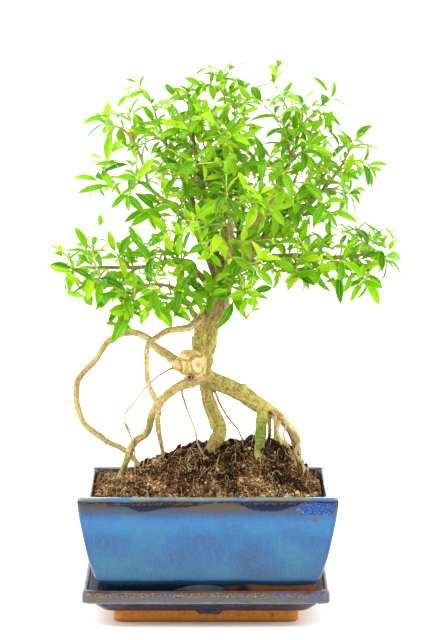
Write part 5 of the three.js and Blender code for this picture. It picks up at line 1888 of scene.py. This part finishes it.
@dataclass(frozen=True)
class Tree:
    """The plant's wood: trunk, branches, healed stub and the roots that lift it off the soil."""

    bark: Bark = Bark()
    fibre: Fibre = Fibre((0.62, 0.43, 0.20), (0.30, 0.19, 0.08))
    voxel: float = 0.84
    ring_step: float = 2.0
    ring_sides: int = 18
    cut_sides: int = 24
    hair_sides: int = 6
    hair_step: float = 1.2
    hair_shake: float = 0.35
    finer: float = 0.84
    fatter_roots: float = 1.13
    cut_from: tuple = (-11, -8, 196)
    cut_to: tuple = (-7.5, -17.5, 197)
    cut_radii: tuple = (8.0, 7.552, 6.72)
    trunk: Limb = Limb(Wood.TRUNK, (8.4, 8.6, 8.7, 9.8, 9.2, 8.1, 8, 8.8, 9.4), (
        (-9, 0, 180), (-7, 0, 192), (-4, 0, 204), (-2.4, 0, 214), (-1.2, -1, 224), (3, -2, 232),
        (8, -2, 242), (10, -1, 258), (13, 0, 274),
    ))
    green_spots: tuple = (
        (0.62, (43, -10, 141), (12, 30, 13)), (0.70, (41.5, -18, 137), (3.5, 12, 8)),
        (0.50, (49, -18, 140), (7, 12, 12)), (0.35, (28, 0, 186), (20, 30, 9)),
        (0.32, (6, 0, 150), (12, 30, 18)), (0.42, (-66, -4, 108), (9, 30, 14)),
        (0.50, (-34, 2, 203), (14, 20, 9)), (0.75, (-44, -14, 151), (5, 12, 8)),
        (0.30, (-46, -14, 138), (7, 12, 8)),
    )
    # Patches of real scars and of painted shade, as in the hollow under the knot and the recess high on the
    # trunk: strength, middle and half sizes.
    scars_and_hollow_shade: tuple = (
        (1.0, (-14, -16, 187.5), (5, 5, 3)), (0.9, (6, -9, 177), (3.2, 6, 4)),
        (0.8, (11, -9, 277), (5, 6, 3.5)), (0.6, (-17, -14, 181), (5, 5, 3)),
        (0.5, (36, -6, 158), (3, 6, 5)), (0.5, (-2, -8, 166), (3, 6, 6)),
        (0.55, (-46, -14, 146), (4, 6, 3)), (0.9, (48.5, -6, 157.5), (2.4, 9, 2.6)),
    )
    # Patches partly of pale bark and partly of painted highlight, as on the trunk's right edge and the top
    # of the right thigh: strength, middle and half sizes.
    pale_and_highlight_spots: tuple = (
        (0.9, (60, 4, 149), (9, 10, 9)), (0.7, (68, 4, 136), (7, 10, 9)), (0.75, (8, 0, 216), (3.5, 20, 16)),
        (0.75, (14, -2, 240), (4, 20, 14)), (0.4, (30, 0, 178), (16, 20, 4)),
    )
    torn_spots: tuple = (
        (1.0, (62, -18, 129), (7, 9, 10)), (1.0, (68, -14, 116), (9, 30, 9)),
        (0.7, (50, -2, 145), (2.5, 5, 12)), (0.55, (3, -11, 128), (7, 8, 7)),
        (0.95, (46, -24, 123), (10, 12, 6)), (0.45, (7, -10, 140), (8, 12, 14)),
        (0.60, (4, -10, 128), (8, 12, 9)), (0.5, (-47, -14, 141), (6, 12, 5)),
    )

    def build(self) -> list[Thing]:
        """Builds the wood as one grown piece, and its fine rootlets.

        Returns:
            The finished pieces.
        """
        wood = new_object("wood", self.rough_shape())
        melt = wood.modifiers.new("grown_together", "REMESH")
        melt.mode = "VOXEL"
        melt.voxel_size = self.voxel * MM
        settle(wood)
        ease = wood.modifiers.new("eased", "SMOOTH")
        ease.factor = 0.5
        ease.iterations = 2
        settle(wood)
        self.map_bark(wood.data)
        grow(wood, self.weathering(), Finish=self.bark.material())
        shade(wood.data, 180)
        return [hand_in(wood, ["trunk_branches_and_roots"]), self.hairs()]

    def hairs(self) -> Thing:
        """Adds the finest roots, thin as hairs, that hang from the thicker ones.

        Returns:
            The finished piece.
        """
        hanging = [limb for limb in ROOTS.values() if limb.kind is Wood.ROOTLET]
        fine = [([radius * self.finer for radius in limb.radii], limb.route) for limb in hanging]
        fine += [((radius, radius * 0.55), route) for radius, route in HAIRS]
        lines = []
        for number, (radii, route) in enumerate(fine):
            curve = Route(route)
            steps = max(8, round(curve.length() / self.hair_step))
            line = []
            for i in range(steps + 1):
                shake = np.array([sway(self.hair_shake, number, i, axis) for axis in (61, 62, 63)])
                line.append((curve.at(i / steps) + shake, spread(radii, i / steps) * 1.2))
            lines.append(line)
        return strands("fine_roots", lines, self.hair_sides, self.fibre.material())

    def rough_shape(self) -> Mesh:
        """Puts every limb, root and swelling in one mesh of crossing shells.

        Returns:
            The mesh.
        """
        shells = []
        for limb in (*LIMBS.values(), *ROOTS.values()):
            if limb.kind is not Wood.ROOTLET:
                limb = self.trunk if limb.kind is Wood.TRUNK else limb
                wide = self.fatter_roots if limb.kind is Wood.ROOT else 1.0
                radii = [radius * wide for radius in limb.radii]
                shells.append(limb_skin(limb.curve(), radii, self.ring_step, self.ring_sides))
        start, end = np.array(self.cut_from, dtype=float), np.array(self.cut_to, dtype=float)
        shells.append(limb_skin(Bow(start, (start + end) / 2, end), self.cut_radii, 1.0, self.cut_sides))
        return mesh_of("wood", *merged(shells + [knurl.shell() for knurl in KNURLS]))

    def map_bark(self, mesh: Mesh) -> None:
        """Stores on each point of the wood what its bark looks like.

        Args:
            mesh: The wood.
        """
        chart = WoodMap()
        for name, limb in (*LIMBS.items(), *ROOTS.items()):
            chart.add(name, self.trunk if limb.kind is Wood.TRUNK else limb)
        points, normals = np.empty(len(mesh.vertices) * 3), np.empty(len(mesh.vertices) * 3)
        mesh.vertices.foreach_get("co", points)
        mesh.vertex_normals.foreach_get("vector", normals)
        points = points.reshape(-1, 3) / MM
        on_bark, found = chart.read(points)
        radius, age, rooty, tone = found.T
        x, y, z = points.T
        lobes = [(k.middle, k.half) for k in KNURLS[:3]] + [(self.cut_to, (8.2, 5, 8.6))]
        away = [np.linalg.norm((points - middle) / np.array(half), axis=1) for middle, half in lobes]
        away = np.sort(away, axis=0)
        knot = smooth(1.34, 1.08, away[0]) * smooth(2, -4, y) * smooth(0, -2, x)
        algae = self.patches(points, self.green_spots) + 0.3 * smooth(165, 118, z) * rooty
        algae += 0.3 * normals.reshape(-1, 3)[:, 2] * tone
        store(
            mesh,
            bark_place=on_bark,
            bark_radius=radius * MM,
            bark_age=age,
            bark_root=rooty,
            bark_tone=tone,
            bark_knot=knot,
            bark_crease=knot * smooth(0.16, 0.02, away[1] - away[0]),
            bark_algae=np.clip(algae, 0, 1),
            bark_scar=np.clip(self.patches(points, self.scars_and_hollow_shade), 0, 1),
            bark_cream=np.clip(self.patches(points, self.pale_and_highlight_spots), 0, 1),
            bark_rust=np.clip(self.patches(points, self.torn_spots), 0, 1),
        )

    @staticmethod
    def patches(points: Points, spots: Sequence[tuple]) -> Points:
        """Gives how strongly points lie in soft round patches.

        Args:
            points: The points.
            spots: Each patch's strength, middle and half sizes.

        Returns:
            The sum of the patches at each point.
        """
        total = np.zeros(len(points))
        for strength, middle, half in spots:
            total += strength * np.exp(-(((points - middle) / np.array(half)) ** 2).sum(axis=1))
        return total

    @staticmethod
    def weathering() -> NodeTree:
        """Makes the tree that presses fissures and swellings into the bark.

        Returns:
            The tree.
        """
        g = Growth("weathering", Finish="Material")
        own = g.named("bark_place", "FLOAT_VECTOR")
        radius, knot = g.named("bark_radius"), g.named("bark_knot")
        plain = 1.0 - knot
        grooves = g.fit(g.noise((430, 430, 110), 3, 0.65, 0.6, place=own), 0.36, 0.58, -1.0, 0.3)
        ribs = g.uneven((240, 240, 75), 3, 0.6, place=own) * plain * radius * 0.75
        lumps = (g.uneven(290, 3, 0.6) - g.named("bark_crease") * 0.2) * knot * 0.0034
        fissures = grooves * g.named("bark_age") * plain * 0.0008
        depth = g.uneven(85, 2) * radius * 0.5 + fissures + ribs + lumps + g.named("bark_scar") * -0.0012
        g.change("SetPosition", Offset=g.scaled(g.give("GeometryNodeInputNormal"), depth))
        return g.close()


# The foliage


@dataclass
class Blade:
    """One leaf: where it starts, the way it points, its upper side and its size."""

    root: Point
    direction: Point
    upper: Point
    length: float
    width: float
    droop: float = 0.2
    sickle: float = 0.0
    tint: float = 0.5

    def middle(self, share: float, across: float = 0.0) -> Point:
        """Gives a point on the blade, by the share of its length and of its half width.

        Args:
            share: From 0 at its foot to 1 at its tip.
            across: From -1 at its left edge to 1 at its right one.

        Returns:
            The point.
        """
        right = np.cross(self.upper, self.direction)
        wide = max(math.sin(math.pi * min(share, 1.0) ** 0.85), 0.0) ** 0.8
        rise = 0.16 * self.width * abs(across) * wide - self.droop * self.length * share**2
        side = self.width / 2 * wide * across + self.sickle * self.length * share**2
        return self.root + self.direction * self.length * share + right * side + self.upper * rise

    def bow(self) -> Point:
        """Gives how far its tip is drawn down and to one side, in metres."""
        right = np.cross(self.upper, self.direction)
        return (right * self.sickle - self.upper * self.droop) * self.length * MM

    def fits(self) -> bool:
        """Tells whether the blade stays in the box of the frame.

        Returns:
            True where all of it is inside.
        """
        low, high = (np.array(corner) / MM for corner in CAD_BOX)
        ends = np.array([self.middle(share, side) for share in (0.5, 1.0) for side in (-1, 1)])
        return bool((ends > low + 0.4).all() and (ends < high - 0.4).all())


@dataclass
class Stem:
    """A twig: its curve, its radii at both ends and how young it is there."""

    curve: Curve
    radii: tuple
    youth: tuple


class Neighbours:
    """What already takes up room among the leaves."""

    MOST = 60000
    NEAR = 22

    def __init__(self) -> None:
        """Starts with nothing."""
        self.taken = np.zeros((self.MOST, 5))
        self.count = 0

    def add(self, points: Sequence[Point], room: Sequence[float] | float, owner: int = -1) -> None:
        """Adds points, each with the room that it needs.

        Args:
            points: The points.
            room: The room of each, or of all.
            owner: The number of the spray they belong to.
        """
        rows = self.taken[self.count : self.count + len(points)]
        rows[:, :3], rows[:, 3], rows[:, 4] = points, room, owner
        self.count += len(points)

    def add_curve(self, curve: Curve, radii: Sequence[float], owner: int = -1) -> None:
        """Adds a limb or twig with radii spread evenly along it.

        Args:
            curve: Its middle line.
            radii: Its radii.
            owner: The number of the spray it belongs to.
        """
        count = math.ceil(curve.length() / 3)
        shares = [i / count for i in range(count + 1)]
        self.add([curve.at(t) for t in shares], [spread(radii, t) + 0.9 for t in shares], owner)

    def clear(self, points: Sequence[Point], room: float, owner: int) -> bool:
        """Tells whether points with the given room touch nothing but their owner's twigs.

        Args:
            points, room: The points and the room that each needs.
            owner: The spray whose own twigs don't count.

        Returns:
            Whether they are clear.
        """
        some = np.asarray(points)
        taken = self.taken[: self.count]
        near = (np.abs(taken[:, :3] - some.mean(axis=0)) < self.NEAR).all(axis=1) & (taken[:, 4] != owner)
        taken = taken[near]
        apart = ((taken[:, None, :3] - some[None]) ** 2).sum(axis=2)
        return bool((apart >= ((taken[:, 3] + room) ** 2)[:, None]).all())


def turned(along: Point, turn: float, opened: float) -> Point:
    """Gives a direction opened away from another one, at a turn round it, both in degrees.

    Args:
        along: The other direction.
        turn: The turn round it.
        opened: The angle away from it.

    Returns:
        The direction.
    """
    side = sideways(along)
    out = side * math.cos(math.radians(turn)) + np.cross(along, side) * math.sin(math.radians(turn))
    return along * math.cos(math.radians(opened)) + out * math.sin(math.radians(opened))


def upper_side(along: Point, direction: Point, rise: float) -> Point:
    """Gives the way a leaf's upper side faces.

    Args:
        along: The twig's direction.
        direction: The leaf's direction.
        rise: How much it looks up.

    Returns:
        A direction at right angles to the leaf's.
    """
    upper = along * 0.8 + UP * rise
    upper = upper - direction * float(upper @ direction)
    return unit(upper) if np.linalg.norm(upper) > 1e-6 else sideways(direction)


@dataclass
class Spray:
    """One leafy spray: a twig with its forks, its leaves and its small side shoots."""

    index: int
    taken: Neighbours
    stems: list = field(default_factory=list)
    blades: list = field(default_factory=list)

    MAIN_ROOM = 1.65
    SMALL_ROOM = 0.62
    LEAF_LENGTH = 22
    LEAF_WIDTH = 7.4
    FORK_AT = 0.42
    PAIR_STEP = 36

    def grow_twigs(self, limb: str, at: float, *tips: tuple) -> None:
        """Grows the twig and its forks from their limb towards their tips.

        Args:
            limb, at: The limb and the place along it, from 0 to 1.
            tips: Where the twig ends, and then each fork.
        """
        curve = LIMBS[limb].curve()
        first = self.twig(curve.at(at), curve.tangent(at), tips[0])
        self.stems.append(Stem(first, (1.0, 0.55), (0.12, 0.75)))
        for tip in tips[1:]:
            fork = self.twig(first.at(self.FORK_AT), first.tangent(self.FORK_AT), tip)
            self.stems.append(Stem(fork, (0.85, 0.55), (0.32, 0.75)))
        for stem in self.stems:
            self.taken.add_curve(stem.curve, (1.25, 0.75), self.index)

    @staticmethod
    def twig(start: Point, parent: Point, tip: Sequence[float]) -> Bow:
        """Bows a twig from its parent's direction towards its tip, short of it by half a leaf.

        Args:
            start: Where it starts.
            parent: Its parent's direction there.
            tip: The tip of its last leaf.

        Returns:
            The twig.
        """
        reach = np.array(tip, dtype=float) - start
        length = max(np.linalg.norm(reach) - 11, 9)
        outward = unit(unit(reach) * 0.7 + parent * 0.3 + UP * 0.18)
        return Bow(start, start + outward * length * 0.45, start + unit(reach) * length)

    def grow_leaves(self) -> None:
        """Grows the large leaves where the frame has them."""
        for number, stem in enumerate(self.stems):
            reach = float(np.linalg.norm(stem.curve.at(1) - stem.curve.at(0)))
            slots = [(0.97, 40, 0.92, 0), (0.97, 40, 0.92, 180)]
            for pair in range(1 if number else max(1, round(reach / self.PAIR_STEP))):
                at, turn = 0.74 - 0.24 * pair, 90 * (pair + 1)
                slots += [(at, 58, 1.0, turn), (at, 58, 1.0, turn + 180)][: 1 if number else 2]
            for place, slot in enumerate(slots):
                self.grow_leaf(stem.curve, slot, number * 10 + place)

    def grow_leaf(self, twig: Curve, slot: tuple, key: int) -> None:
        """Grows one large leaf where it finds room.

        Args:
            twig: The twig that carries it.
            slot: Its place on the twig, its opening in degrees, its size and its turn in degrees.
            key: A whole number that names its draws.
        """
        at, opened, size, turn = slot
        root, along = twig.at(at), twig.tangent(at)
        for attempt in range(7):
            swing = sway(40 + 22 * attempt, self.index, key, attempt)
            wider = sway(24 + 9 * attempt, self.index, key + 40, attempt)
            direction = turned(along, self.index * 47 + turn + swing, opened + wider)
            share = size * (0.84 + 0.32 * chance(self.index, key + 80, 3))
            upper = upper_side(along, direction, 0.7)
            blade = Blade(root, direction, upper, self.LEAF_LENGTH * share, self.LEAF_WIDTH * share)
            spots = [blade.middle(a, s) for a in (0.25, 0.4, 0.55, 0.7) for s in (-0.85, 0, 0.85)]
            spots += [blade.middle(0.85), blade.middle(1.0)]
            if self.taken.clear(spots, self.MAIN_ROOM, self.index):
                break
        else:
            return
        self.taken.add(spots, self.MAIN_ROOM)
        blade.length *= 0.95
        blade.width *= 0.9
        blade.tint = 0.62 * chance(self.index, key, 91)
        fuller = Blade(**vars(blade))
        fuller.droop = drawn(0.12, 0.56, self.index, key, 92)
        fuller.sickle = drawn(-0.2, 0.2, self.index, key, 93)
        self.blades.append(fuller if fuller.fits() else blade)

    def small_leaf(self, root: Point, along: Point, form: tuple, keys: tuple) -> None:
        """Grows a small leaf if there is room.

        Args:
            root: Where it starts.
            along: The direction of its twig.
            form: Its turn and opening in degrees, its length and its tint.
            keys: Two whole numbers that name its draws.
        """
        turn, opened, length, tint = form
        for attempt in range(3):
            swing = sway(50 + 60 * attempt, *keys, attempt)
            direction = turned(along, turn + swing, opened + sway(40, *keys, attempt + 5))
            direction = unit(direction + UP * 0.12)
            width = length * drawn(0.32, 0.42, *keys, 11)
            blade = Blade(root, direction, upper_side(along, direction, 0.5), length, width)
            blade.droop = drawn(0.05, 0.48, *keys, 12)
            blade.sickle = drawn(-0.22, 0.22, *keys, 13)
            blade.tint = min(max(tint + sway(0.5, *keys, 14), 0.0), 1.0)
            spots = [blade.middle(a) for a in (0.3, 0.55, 0.8, 1.0)]
            if blade.fits() and self.taken.clear(spots, self.SMALL_ROOM, self.index):
                self.taken.add(spots, self.SMALL_ROOM)
                self.blades.append(blade)
                return

    def side_shoot(self, start: Point, along: Point, form: tuple, keys: tuple) -> None:
        """Grows a short shoot with pairs of small leaves.

        Args:
            start: Where it starts.
            along: The direction of its parent.
            form: Its turn and opening in degrees and its length.
            keys: Two whole numbers that name its draws.
        """
        turn, opened, length = form
        direction = unit(turned(along, turn, opened) + UP * 0.3)
        bend = start + unit(direction + along * 0.5) * length * 0.5
        curve = Bow(start, bend, start + direction * length)
        spots = [curve.at(t) for t in (0.5, 0.75, 1.0)]
        if not self.taken.clear(spots, 0.5, self.index):
            return
        before = len(self.blades)
        a, b = keys
        for pair in range(1 + round(length / 13)):
            at = max(1.0 - 0.5 * pair, 0.2)
            for side in range(2):
                size = drawn(9, 17, a, b + pair, 180 * side)
                shape = (turn + 90 * pair + 180 * side, 44 + 14 * pair, size, 0.5)
                self.small_leaf(curve.at(at), curve.tangent(at), shape, (a, b * 8 + pair * 2 + side))
        for bud in range(2):
            shape = (turn + 90 + 180 * bud, 16, drawn(4, 7, a, b + bud, 31), 0.9)
            self.small_leaf(curve.at(0.98), curve.tangent(1), shape, (a + 3, b * 8 + bud))
        if len(self.blades) > before:
            self.taken.add(spots, 0.7, self.index)
            self.stems.append(Stem(curve, (0.55, 0.36), (0.45, 0.95)))

    @staticmethod
    def airy(place: Point) -> float:
        """Gives the share of small growth that is missing at a place, as the crown is open there.

        Args:
            place: The place.

        Returns:
            The share, from 0 to 1.
        """
        x, y, z = place
        if -14 < x < 66 and 266 < z < 326 and y < 6:
            return 0.85
        if x < -34 and z > 268:
            return 0.70
        if -34 < x < 40 and z > 326:
            return 0.0
        return 0.50 if abs(x + 5) > 62 else 0.16

    def grow_small(self) -> None:
        """Grows side shoots, leaves in the axils and young leaves at the tips."""
        for number, stem in enumerate(list(self.stems)):
            key = self.index * 31 + number * 7
            curve = stem.curve
            for i, at in enumerate((0.45, 0.8) if number else (0.2, 0.42, 0.64, 0.86)):
                if chance(key, i, 45) < self.airy(curve.at(at)):
                    continue
                at += sway(0.1, key, i, 42)
                form = (key * 23 + i * 137.5, drawn(38, 70, key, i, 43), drawn(9, 21, key, i, 41))
                self.side_shoot(curve.at(at), curve.tangent(at), form, (key, i + 10))
            for i, at in enumerate((0.74, 0.5)):
                for side in range(2):
                    if chance(key, i * 2 + side, 46) < self.airy(curve.at(at)) - 0.15:
                        continue
                    shape = (key * 47 + 180 * side + 60 * i, 55, drawn(4, 9, key, i, side), 0.7)
                    self.small_leaf(curve.at(at), curve.tangent(at), shape, (key, 60 + i * 3 + side))
            for bud in range(2):
                shape = (key * 31 + 180 * bud, 22, drawn(5, 9, key, bud, 44), 0.9)
                self.small_leaf(curve.at(1), curve.tangent(1), shape, (key, 80 + bud))


@dataclass(frozen=True)
class Foliage:
    """All leafy sprays, and the small inner shoots along the limbs."""

    leaf: Leaf = Leaf()
    twig: Twig = Twig()
    stations: tuple = (0.0, 0.09, 0.24, 0.43, 0.63, 0.83, 1.0)

    SPACING = {
        "arm_right": 4.0, "second_right": 5.0, "thick_right": 4.0, "leader_twin": 3.5, "leader_mid": 4.0,
        "leader_left": 4.5, "left_mid": 5.0,
    }

    def build(self) -> list[Thing]:
        """Builds every spray as one piece with its leaves, and the inner shoots as another.

        Returns:
            The finished pieces.
        """
        taken = Neighbours()
        for limb in (*LIMBS.values(), *ROOTS.values()):
            taken.add_curve(limb.curve(), limb.radii)
        rows = [(limb, *row) for limb, some in SPRAYS.items() for row in some]
        sprays = [Spray(index, taken) for index in range(len(rows))]
        for spray, row in zip(sprays, rows):
            spray.grow_twigs(*row)
        for spray in sprays:
            spray.grow_leaves()
        self.grow_standouts(sprays, taken)
        for spray in sprays:
            spray.grow_small()
        inner = self.inner_shoots(taken)
        leaf = new_object("leaf_one", self.leaf_mesh())
        finishes = {"Leaf_finish": self.leaf.material(), "Stem_finish": self.twig.material()}
        tree = self.growth()
        pieces = []
        for spray in (*sprays, inner):
            name = "inner_shoots" if spray is inner else f"spray_{spray.index + 1:02d}"
            nodes = [] if spray is inner else [f"leafy_{name}"]
            host = new_object(name, self.host_mesh(name, spray))
            pieces.append(hand_in(grow(host, tree, Leaf=leaf, Sides=5, **finishes), nodes))
        bpy.data.objects.remove(leaf)
        log.info("%d leaves", sum(len(spray.blades) for spray in (*sprays, inner)))
        return pieces

    @staticmethod
    def grow_standouts(sprays: list[Spray], taken: Neighbours) -> None:
        """Adds the largest leaves, each on a short stalk from the twig or limb nearest to it.

        Args:
            sprays: The sprays.
            taken: What already takes up room.
        """
        twigs = [(stem.curve.at(i / 8), spray) for spray in sprays for stem in spray.stems for i in range(9)]
        points = np.array([point for point, _ in twigs])
        outward = np.array([0.0, -0.75, 0.65])
        for number, (x, z, tip_x, tip_z, width) in enumerate(STANDOUTS):
            apart = np.hypot(points[:, 0] - x, points[:, 2] - z) + 0.12 * points[:, 1]
            start, spray = twigs[int(apart.argmin())]
            length = math.hypot(tip_x - x, tip_z - z)
            for forward in (5, 9, 13, 17, 1, 21):
                root = np.array([x, start[1] - forward, z], dtype=float)
                side = (chance(number, forward, 97) - 0.6) * 0.5
                direction = unit(np.array([tip_x - x, side * length, tip_z - z + 0.12 * length]))
                upper = unit(outward - direction * float(direction @ outward))
                sickle, tint = drawn(-0.1, 0.1, number, 5, 99), 0.1 + 0.5 * chance(number, 3, 98)
                blade = Blade(root, direction, upper, length, width, 0.14, sickle, tint)
                spots = [blade.middle(a, s) for a in (0.3, 0.55, 0.8) for s in (-0.6, 0.6)]
                spots.append(blade.middle(1.0))
                if blade.fits() and taken.clear(spots, 0.8, spray.index):
                    taken.add(spots, 0.9)
                    spray.blades.append(blade)
                    stalk = Bow(start, (start + root) / 2 + UP * 1.5, root)
                    spray.stems.append(Stem(stalk, (0.6, 0.42), (0.45, 0.85)))
                    break

    def inner_shoots(self, taken: Neighbours) -> Spray:
        """Grows small shoots straight from the limbs.

        Args:
            taken: What already takes up room.

        Returns:
            The shoots, as one spray.
        """
        inner = Spray(500, taken)
        for number, (name, limb) in enumerate(LIMBS.items()):
            curve = limb.curve()
            start, count = 0.16, round(curve.length() / self.SPACING.get(name, 8.0))
            if name == "trunk":
                start, count = 0.86, 3
            for i in range(count):
                at = between(start, 0.94, (i + chance(number, i, 51)) / count)
                if chance(number, i, 53) < Spray.airy(curve.at(at)) - 0.1:
                    continue
                radius, turn, along = spread(limb.radii, at), number * 71 + i * 137.5, curve.tangent(at)
                root = curve.at(at) + turned(along, turn, 62) * radius * 0.6
                form = (turn, 62, drawn(9, 22, number, i, 52) + radius)
                inner.side_shoot(root, along, form, (700 + number, i))
        return inner

    def leaf_mesh(self) -> Mesh:
        """Makes one leaf of length 1 and width 1, folded a little along its midrib.

        Returns:
            The mesh, with the place of each point on the blade.
        """
        section = ((-1, 0, 0.5), (-0.5, 1, 0), (0, 0.75, 0), (0.5, 1, 0), (1, 0, 0.5), (0, -1.2, 1))
        rings, spots = [], []
        for share in self.stations:
            wide = max(math.sin(math.pi * min(0.02 + share * 0.975, 1) ** 1.12), 0.0) ** 0.85
            wide = between(0.12, wide, smooth(0.02, 0.14, share)) * 1.06
            thick = between(0.05, 0.022, smooth(0, 0.2, share)) * (1 if share < 0.99 else 0.4)
            ring = []
            for side, level, below in section[::-1]:
                lift = 0.2 * abs(side) * wide * smooth(0, 0.25, share) + level * thick
                lift += 0.012 * math.sin(share * 21 + side * 1.5) * abs(side) * wide
                ring.append(np.array([side * 0.5 * wide, share, lift]) / MM)
                spots.append((share, side, below))
            rings.append(ring)
        mesh = mesh_of("leaf_one", *skin(rings))
        along, across, under = np.array(spots, dtype=float).T
        store(mesh, blade_along=along, blade_across=across, blade_under=under)
        shade(mesh, 55)
        return mesh

    @staticmethod
    def host_mesh(name: str, spray: Spray) -> Mesh:
        """Lays down a spray's twigs as loose edges and its leaves as loose points.

        Args:
            name: The mesh's name.
            spray: The spray.

        Returns:
            The mesh, with what the growth needs on each point.
        """
        lines = []
        for stem in spray.stems:
            steps = max(4, round(stem.curve.length() / 2.2))
            line = []
            for i in range(steps + 1):
                t = i / steps
                line.append((stem.curve.at(t), between(*stem.radii, t) * MM, between(*stem.youth, t)))
            lines.append(line)
        spots, edges = chained(lines)
        stems, blades = len(spots), spray.blades
        places, radii, youth = zip(*spots, *[(blade.root, 0.0, 0.0) for blade in blades])
        mesh = mesh_of(name, places, edges=edges)

        def column(values: list, still: object = (0.0, 0.0, 1.0)) -> list:
            """Puts a value for each point of a twig before the leaves' own."""
            return [still] * stems + values

        store(
            mesh,
            is_blade=column([True] * len(blades), False),
            blade_direction=column([b.direction for b in blades]),
            blade_upper=column([b.upper for b in blades], (0.0, 1.0, 0.0)),
            blade_size=column([(b.width * MM, b.length * MM, b.width * MM) for b in blades]),
            blade_bow=column([b.bow() for b in blades]),
            blade_tint=column([b.tint for b in blades], 0.0),
            stem_radius=radii,
            stem_youth=youth,
        )
        return mesh

    @staticmethod
    def growth() -> NodeTree:
        """Makes the tree that puts a leaf on each point and a round twig on each edge.

        Returns:
            The tree.
        """
        finishes = {"Leaf_finish": "Material", "Stem_finish": "Material"}
        g = Growth("leafy_growth", Leaf="Object", **finishes, Sides="Int")
        facing = {
            "Primary Axis": g.named("blade_direction", "FLOAT_VECTOR"),
            "Secondary Axis": g.named("blade_upper", "FLOAT_VECTOR"),
        }
        placed = {
            "Points": g.shape,
            "Selection": g.named("is_blade", "BOOLEAN"),
            "Instance": g.give("GeometryNodeObjectInfo", {"Object": g.inputs["Leaf"]}, "Geometry"),
            "Rotation": g.give("FunctionNodeAxesToRotation", facing, primary_axis="Y", secondary_axis="Z"),
            "Scale": g.named("blade_size", "FLOAT_VECTOR"),
        }
        g.shape = g.give("GeometryNodeInstanceOnPoints", placed)
        g.change("RealizeInstances")
        along = g.named("blade_along")
        g.change("SetPosition", Offset=g.scaled(g.named("blade_bow", "FLOAT_VECTOR"), along * along))
        g.change("SetMaterial", Material=g.inputs["Leaf_finish"])
        leaves, g.shape = g.shape, g.inputs["Shape"]
        g.tubes(g.named("stem_radius"))
        g.change("SetMaterial", Material=g.inputs["Stem_finish"])
        joined = g.node("GeometryNodeJoinGeometry")
        for part in (g.shape, leaves):
            g.feed(joined.inputs[0], part)
        g.shape = Value(g, joined.outputs[0])
        return g.close(None)


# The studio and the camera


@dataclass(frozen=True)
class PhotoStudio:
    """A pale floor without an edge, soft lights and the camera."""

    floor: Studio = Studio()
    camera_place: tuple = (4.3, -2973.6, 626.5)
    camera_tilt: float = 82.4
    lens: float = 144.6
    half_width: float = 4500.0
    sweep_start: float = 3500.0
    sweep: float = 900.0
    wall_height: float = 3200.0
    lamps: tuple = (
        ("left_window", (-1550, -600, 900), (0, 0, 200), 1500, 40.0, (1.0, 0.98, 0.93)),
        ("right_window", (1550, -450, 850), (0, 0, 200), 1300, 32.0, (1.0, 0.97, 0.91)),
        ("top_box", (-100, -300, 1700), (0, 0, 200), 1300, 20.0, (1.0, 0.985, 0.95)),
        ("backdrop_left", (-1700, 1700, 1800), (0, 3500, 0), 2000, 140.0, (1.0, 1.0, 1.0)),
        ("backdrop_right", (1700, 1700, 1800), (0, 3500, 0), 2000, 140.0, (1.0, 1.0, 1.0)),
    )

    def build(self) -> None:
        """Builds the studio."""
        self.add_floor()
        self.add_lights()
        self.add_camera()
        self.light_world()

    def add_floor(self) -> None:
        """Adds a floor that sweeps up behind the object."""
        profile = [(-self.sweep_start, 0.0)]
        for i in range(25):
            turn = math.pi / 2 * i / 24
            away, up = self.sweep * math.sin(turn), self.sweep * (1 - math.cos(turn))
            profile.append((self.sweep_start + away, up))
        profile.append((self.sweep_start + self.sweep, self.wall_height))
        places = [(x, y, z - 0.05) for y, z in profile for x in (-self.half_width, self.half_width)]
        faces = [(a, a + 1, a + 3, a + 2) for a in range(0, len(places) - 2, 2)]
        mesh = mesh_of("studio_floor", places, faces)
        shade(mesh, 60)
        mesh.materials.append(self.floor.material())
        new_object("studio_floor", mesh)

    def add_lights(self) -> None:
        """Adds the soft lights: the strongest from the left, one from the right, one from above."""
        for name, place, target, size, power, colour in self.lamps:
            lamp = bpy.data.lights.new(name, "AREA")
            lamp.energy = power
            lamp.size = size * MM
            lamp.color = colour
            thing = new_object(name, lamp)
            thing.location = Vector(place) * MM
            thing.rotation_euler = (Vector(target) - Vector(place)).to_track_quat("-Z", "Y").to_euler()

    def add_camera(self) -> None:
        """Adds the camera in front, a little above the object."""
        lens = bpy.data.cameras.new("front_camera")
        lens.sensor_fit = "VERTICAL"
        lens.sensor_height = 24
        lens.lens = self.lens
        lens.clip_end = 50
        camera = new_object("front_camera", lens)
        camera.location = Vector(self.camera_place) * MM
        camera.rotation_euler = (math.radians(self.camera_tilt), 0, 0)
        bpy.context.scene.camera = camera

    @staticmethod
    def light_world() -> None:
        """Surrounds the scene with even white light."""
        scene = bpy.context.scene
        scene.world = bpy.data.worlds.new("studio_white")
        scene.world.use_nodes = True
        light = scene.world.node_tree.nodes["Background"]
        light.inputs["Color"].default_value = (1.0, 0.995, 0.985, 1)
        light.inputs["Strength"].default_value = 0.46
        scene.view_settings.view_transform = "Standard"


def main() -> None:
    """Builds every piece, the studio and the camera."""
    logging.basicConfig(level=logging.INFO, format="%(name)s: %(message)s")
    DripTray().build()
    Pot().build()
    Soil().build()
    Tree().build()
    Foliage().build()
    PhotoStudio().build()


if __name__ == "__main__":
    main()
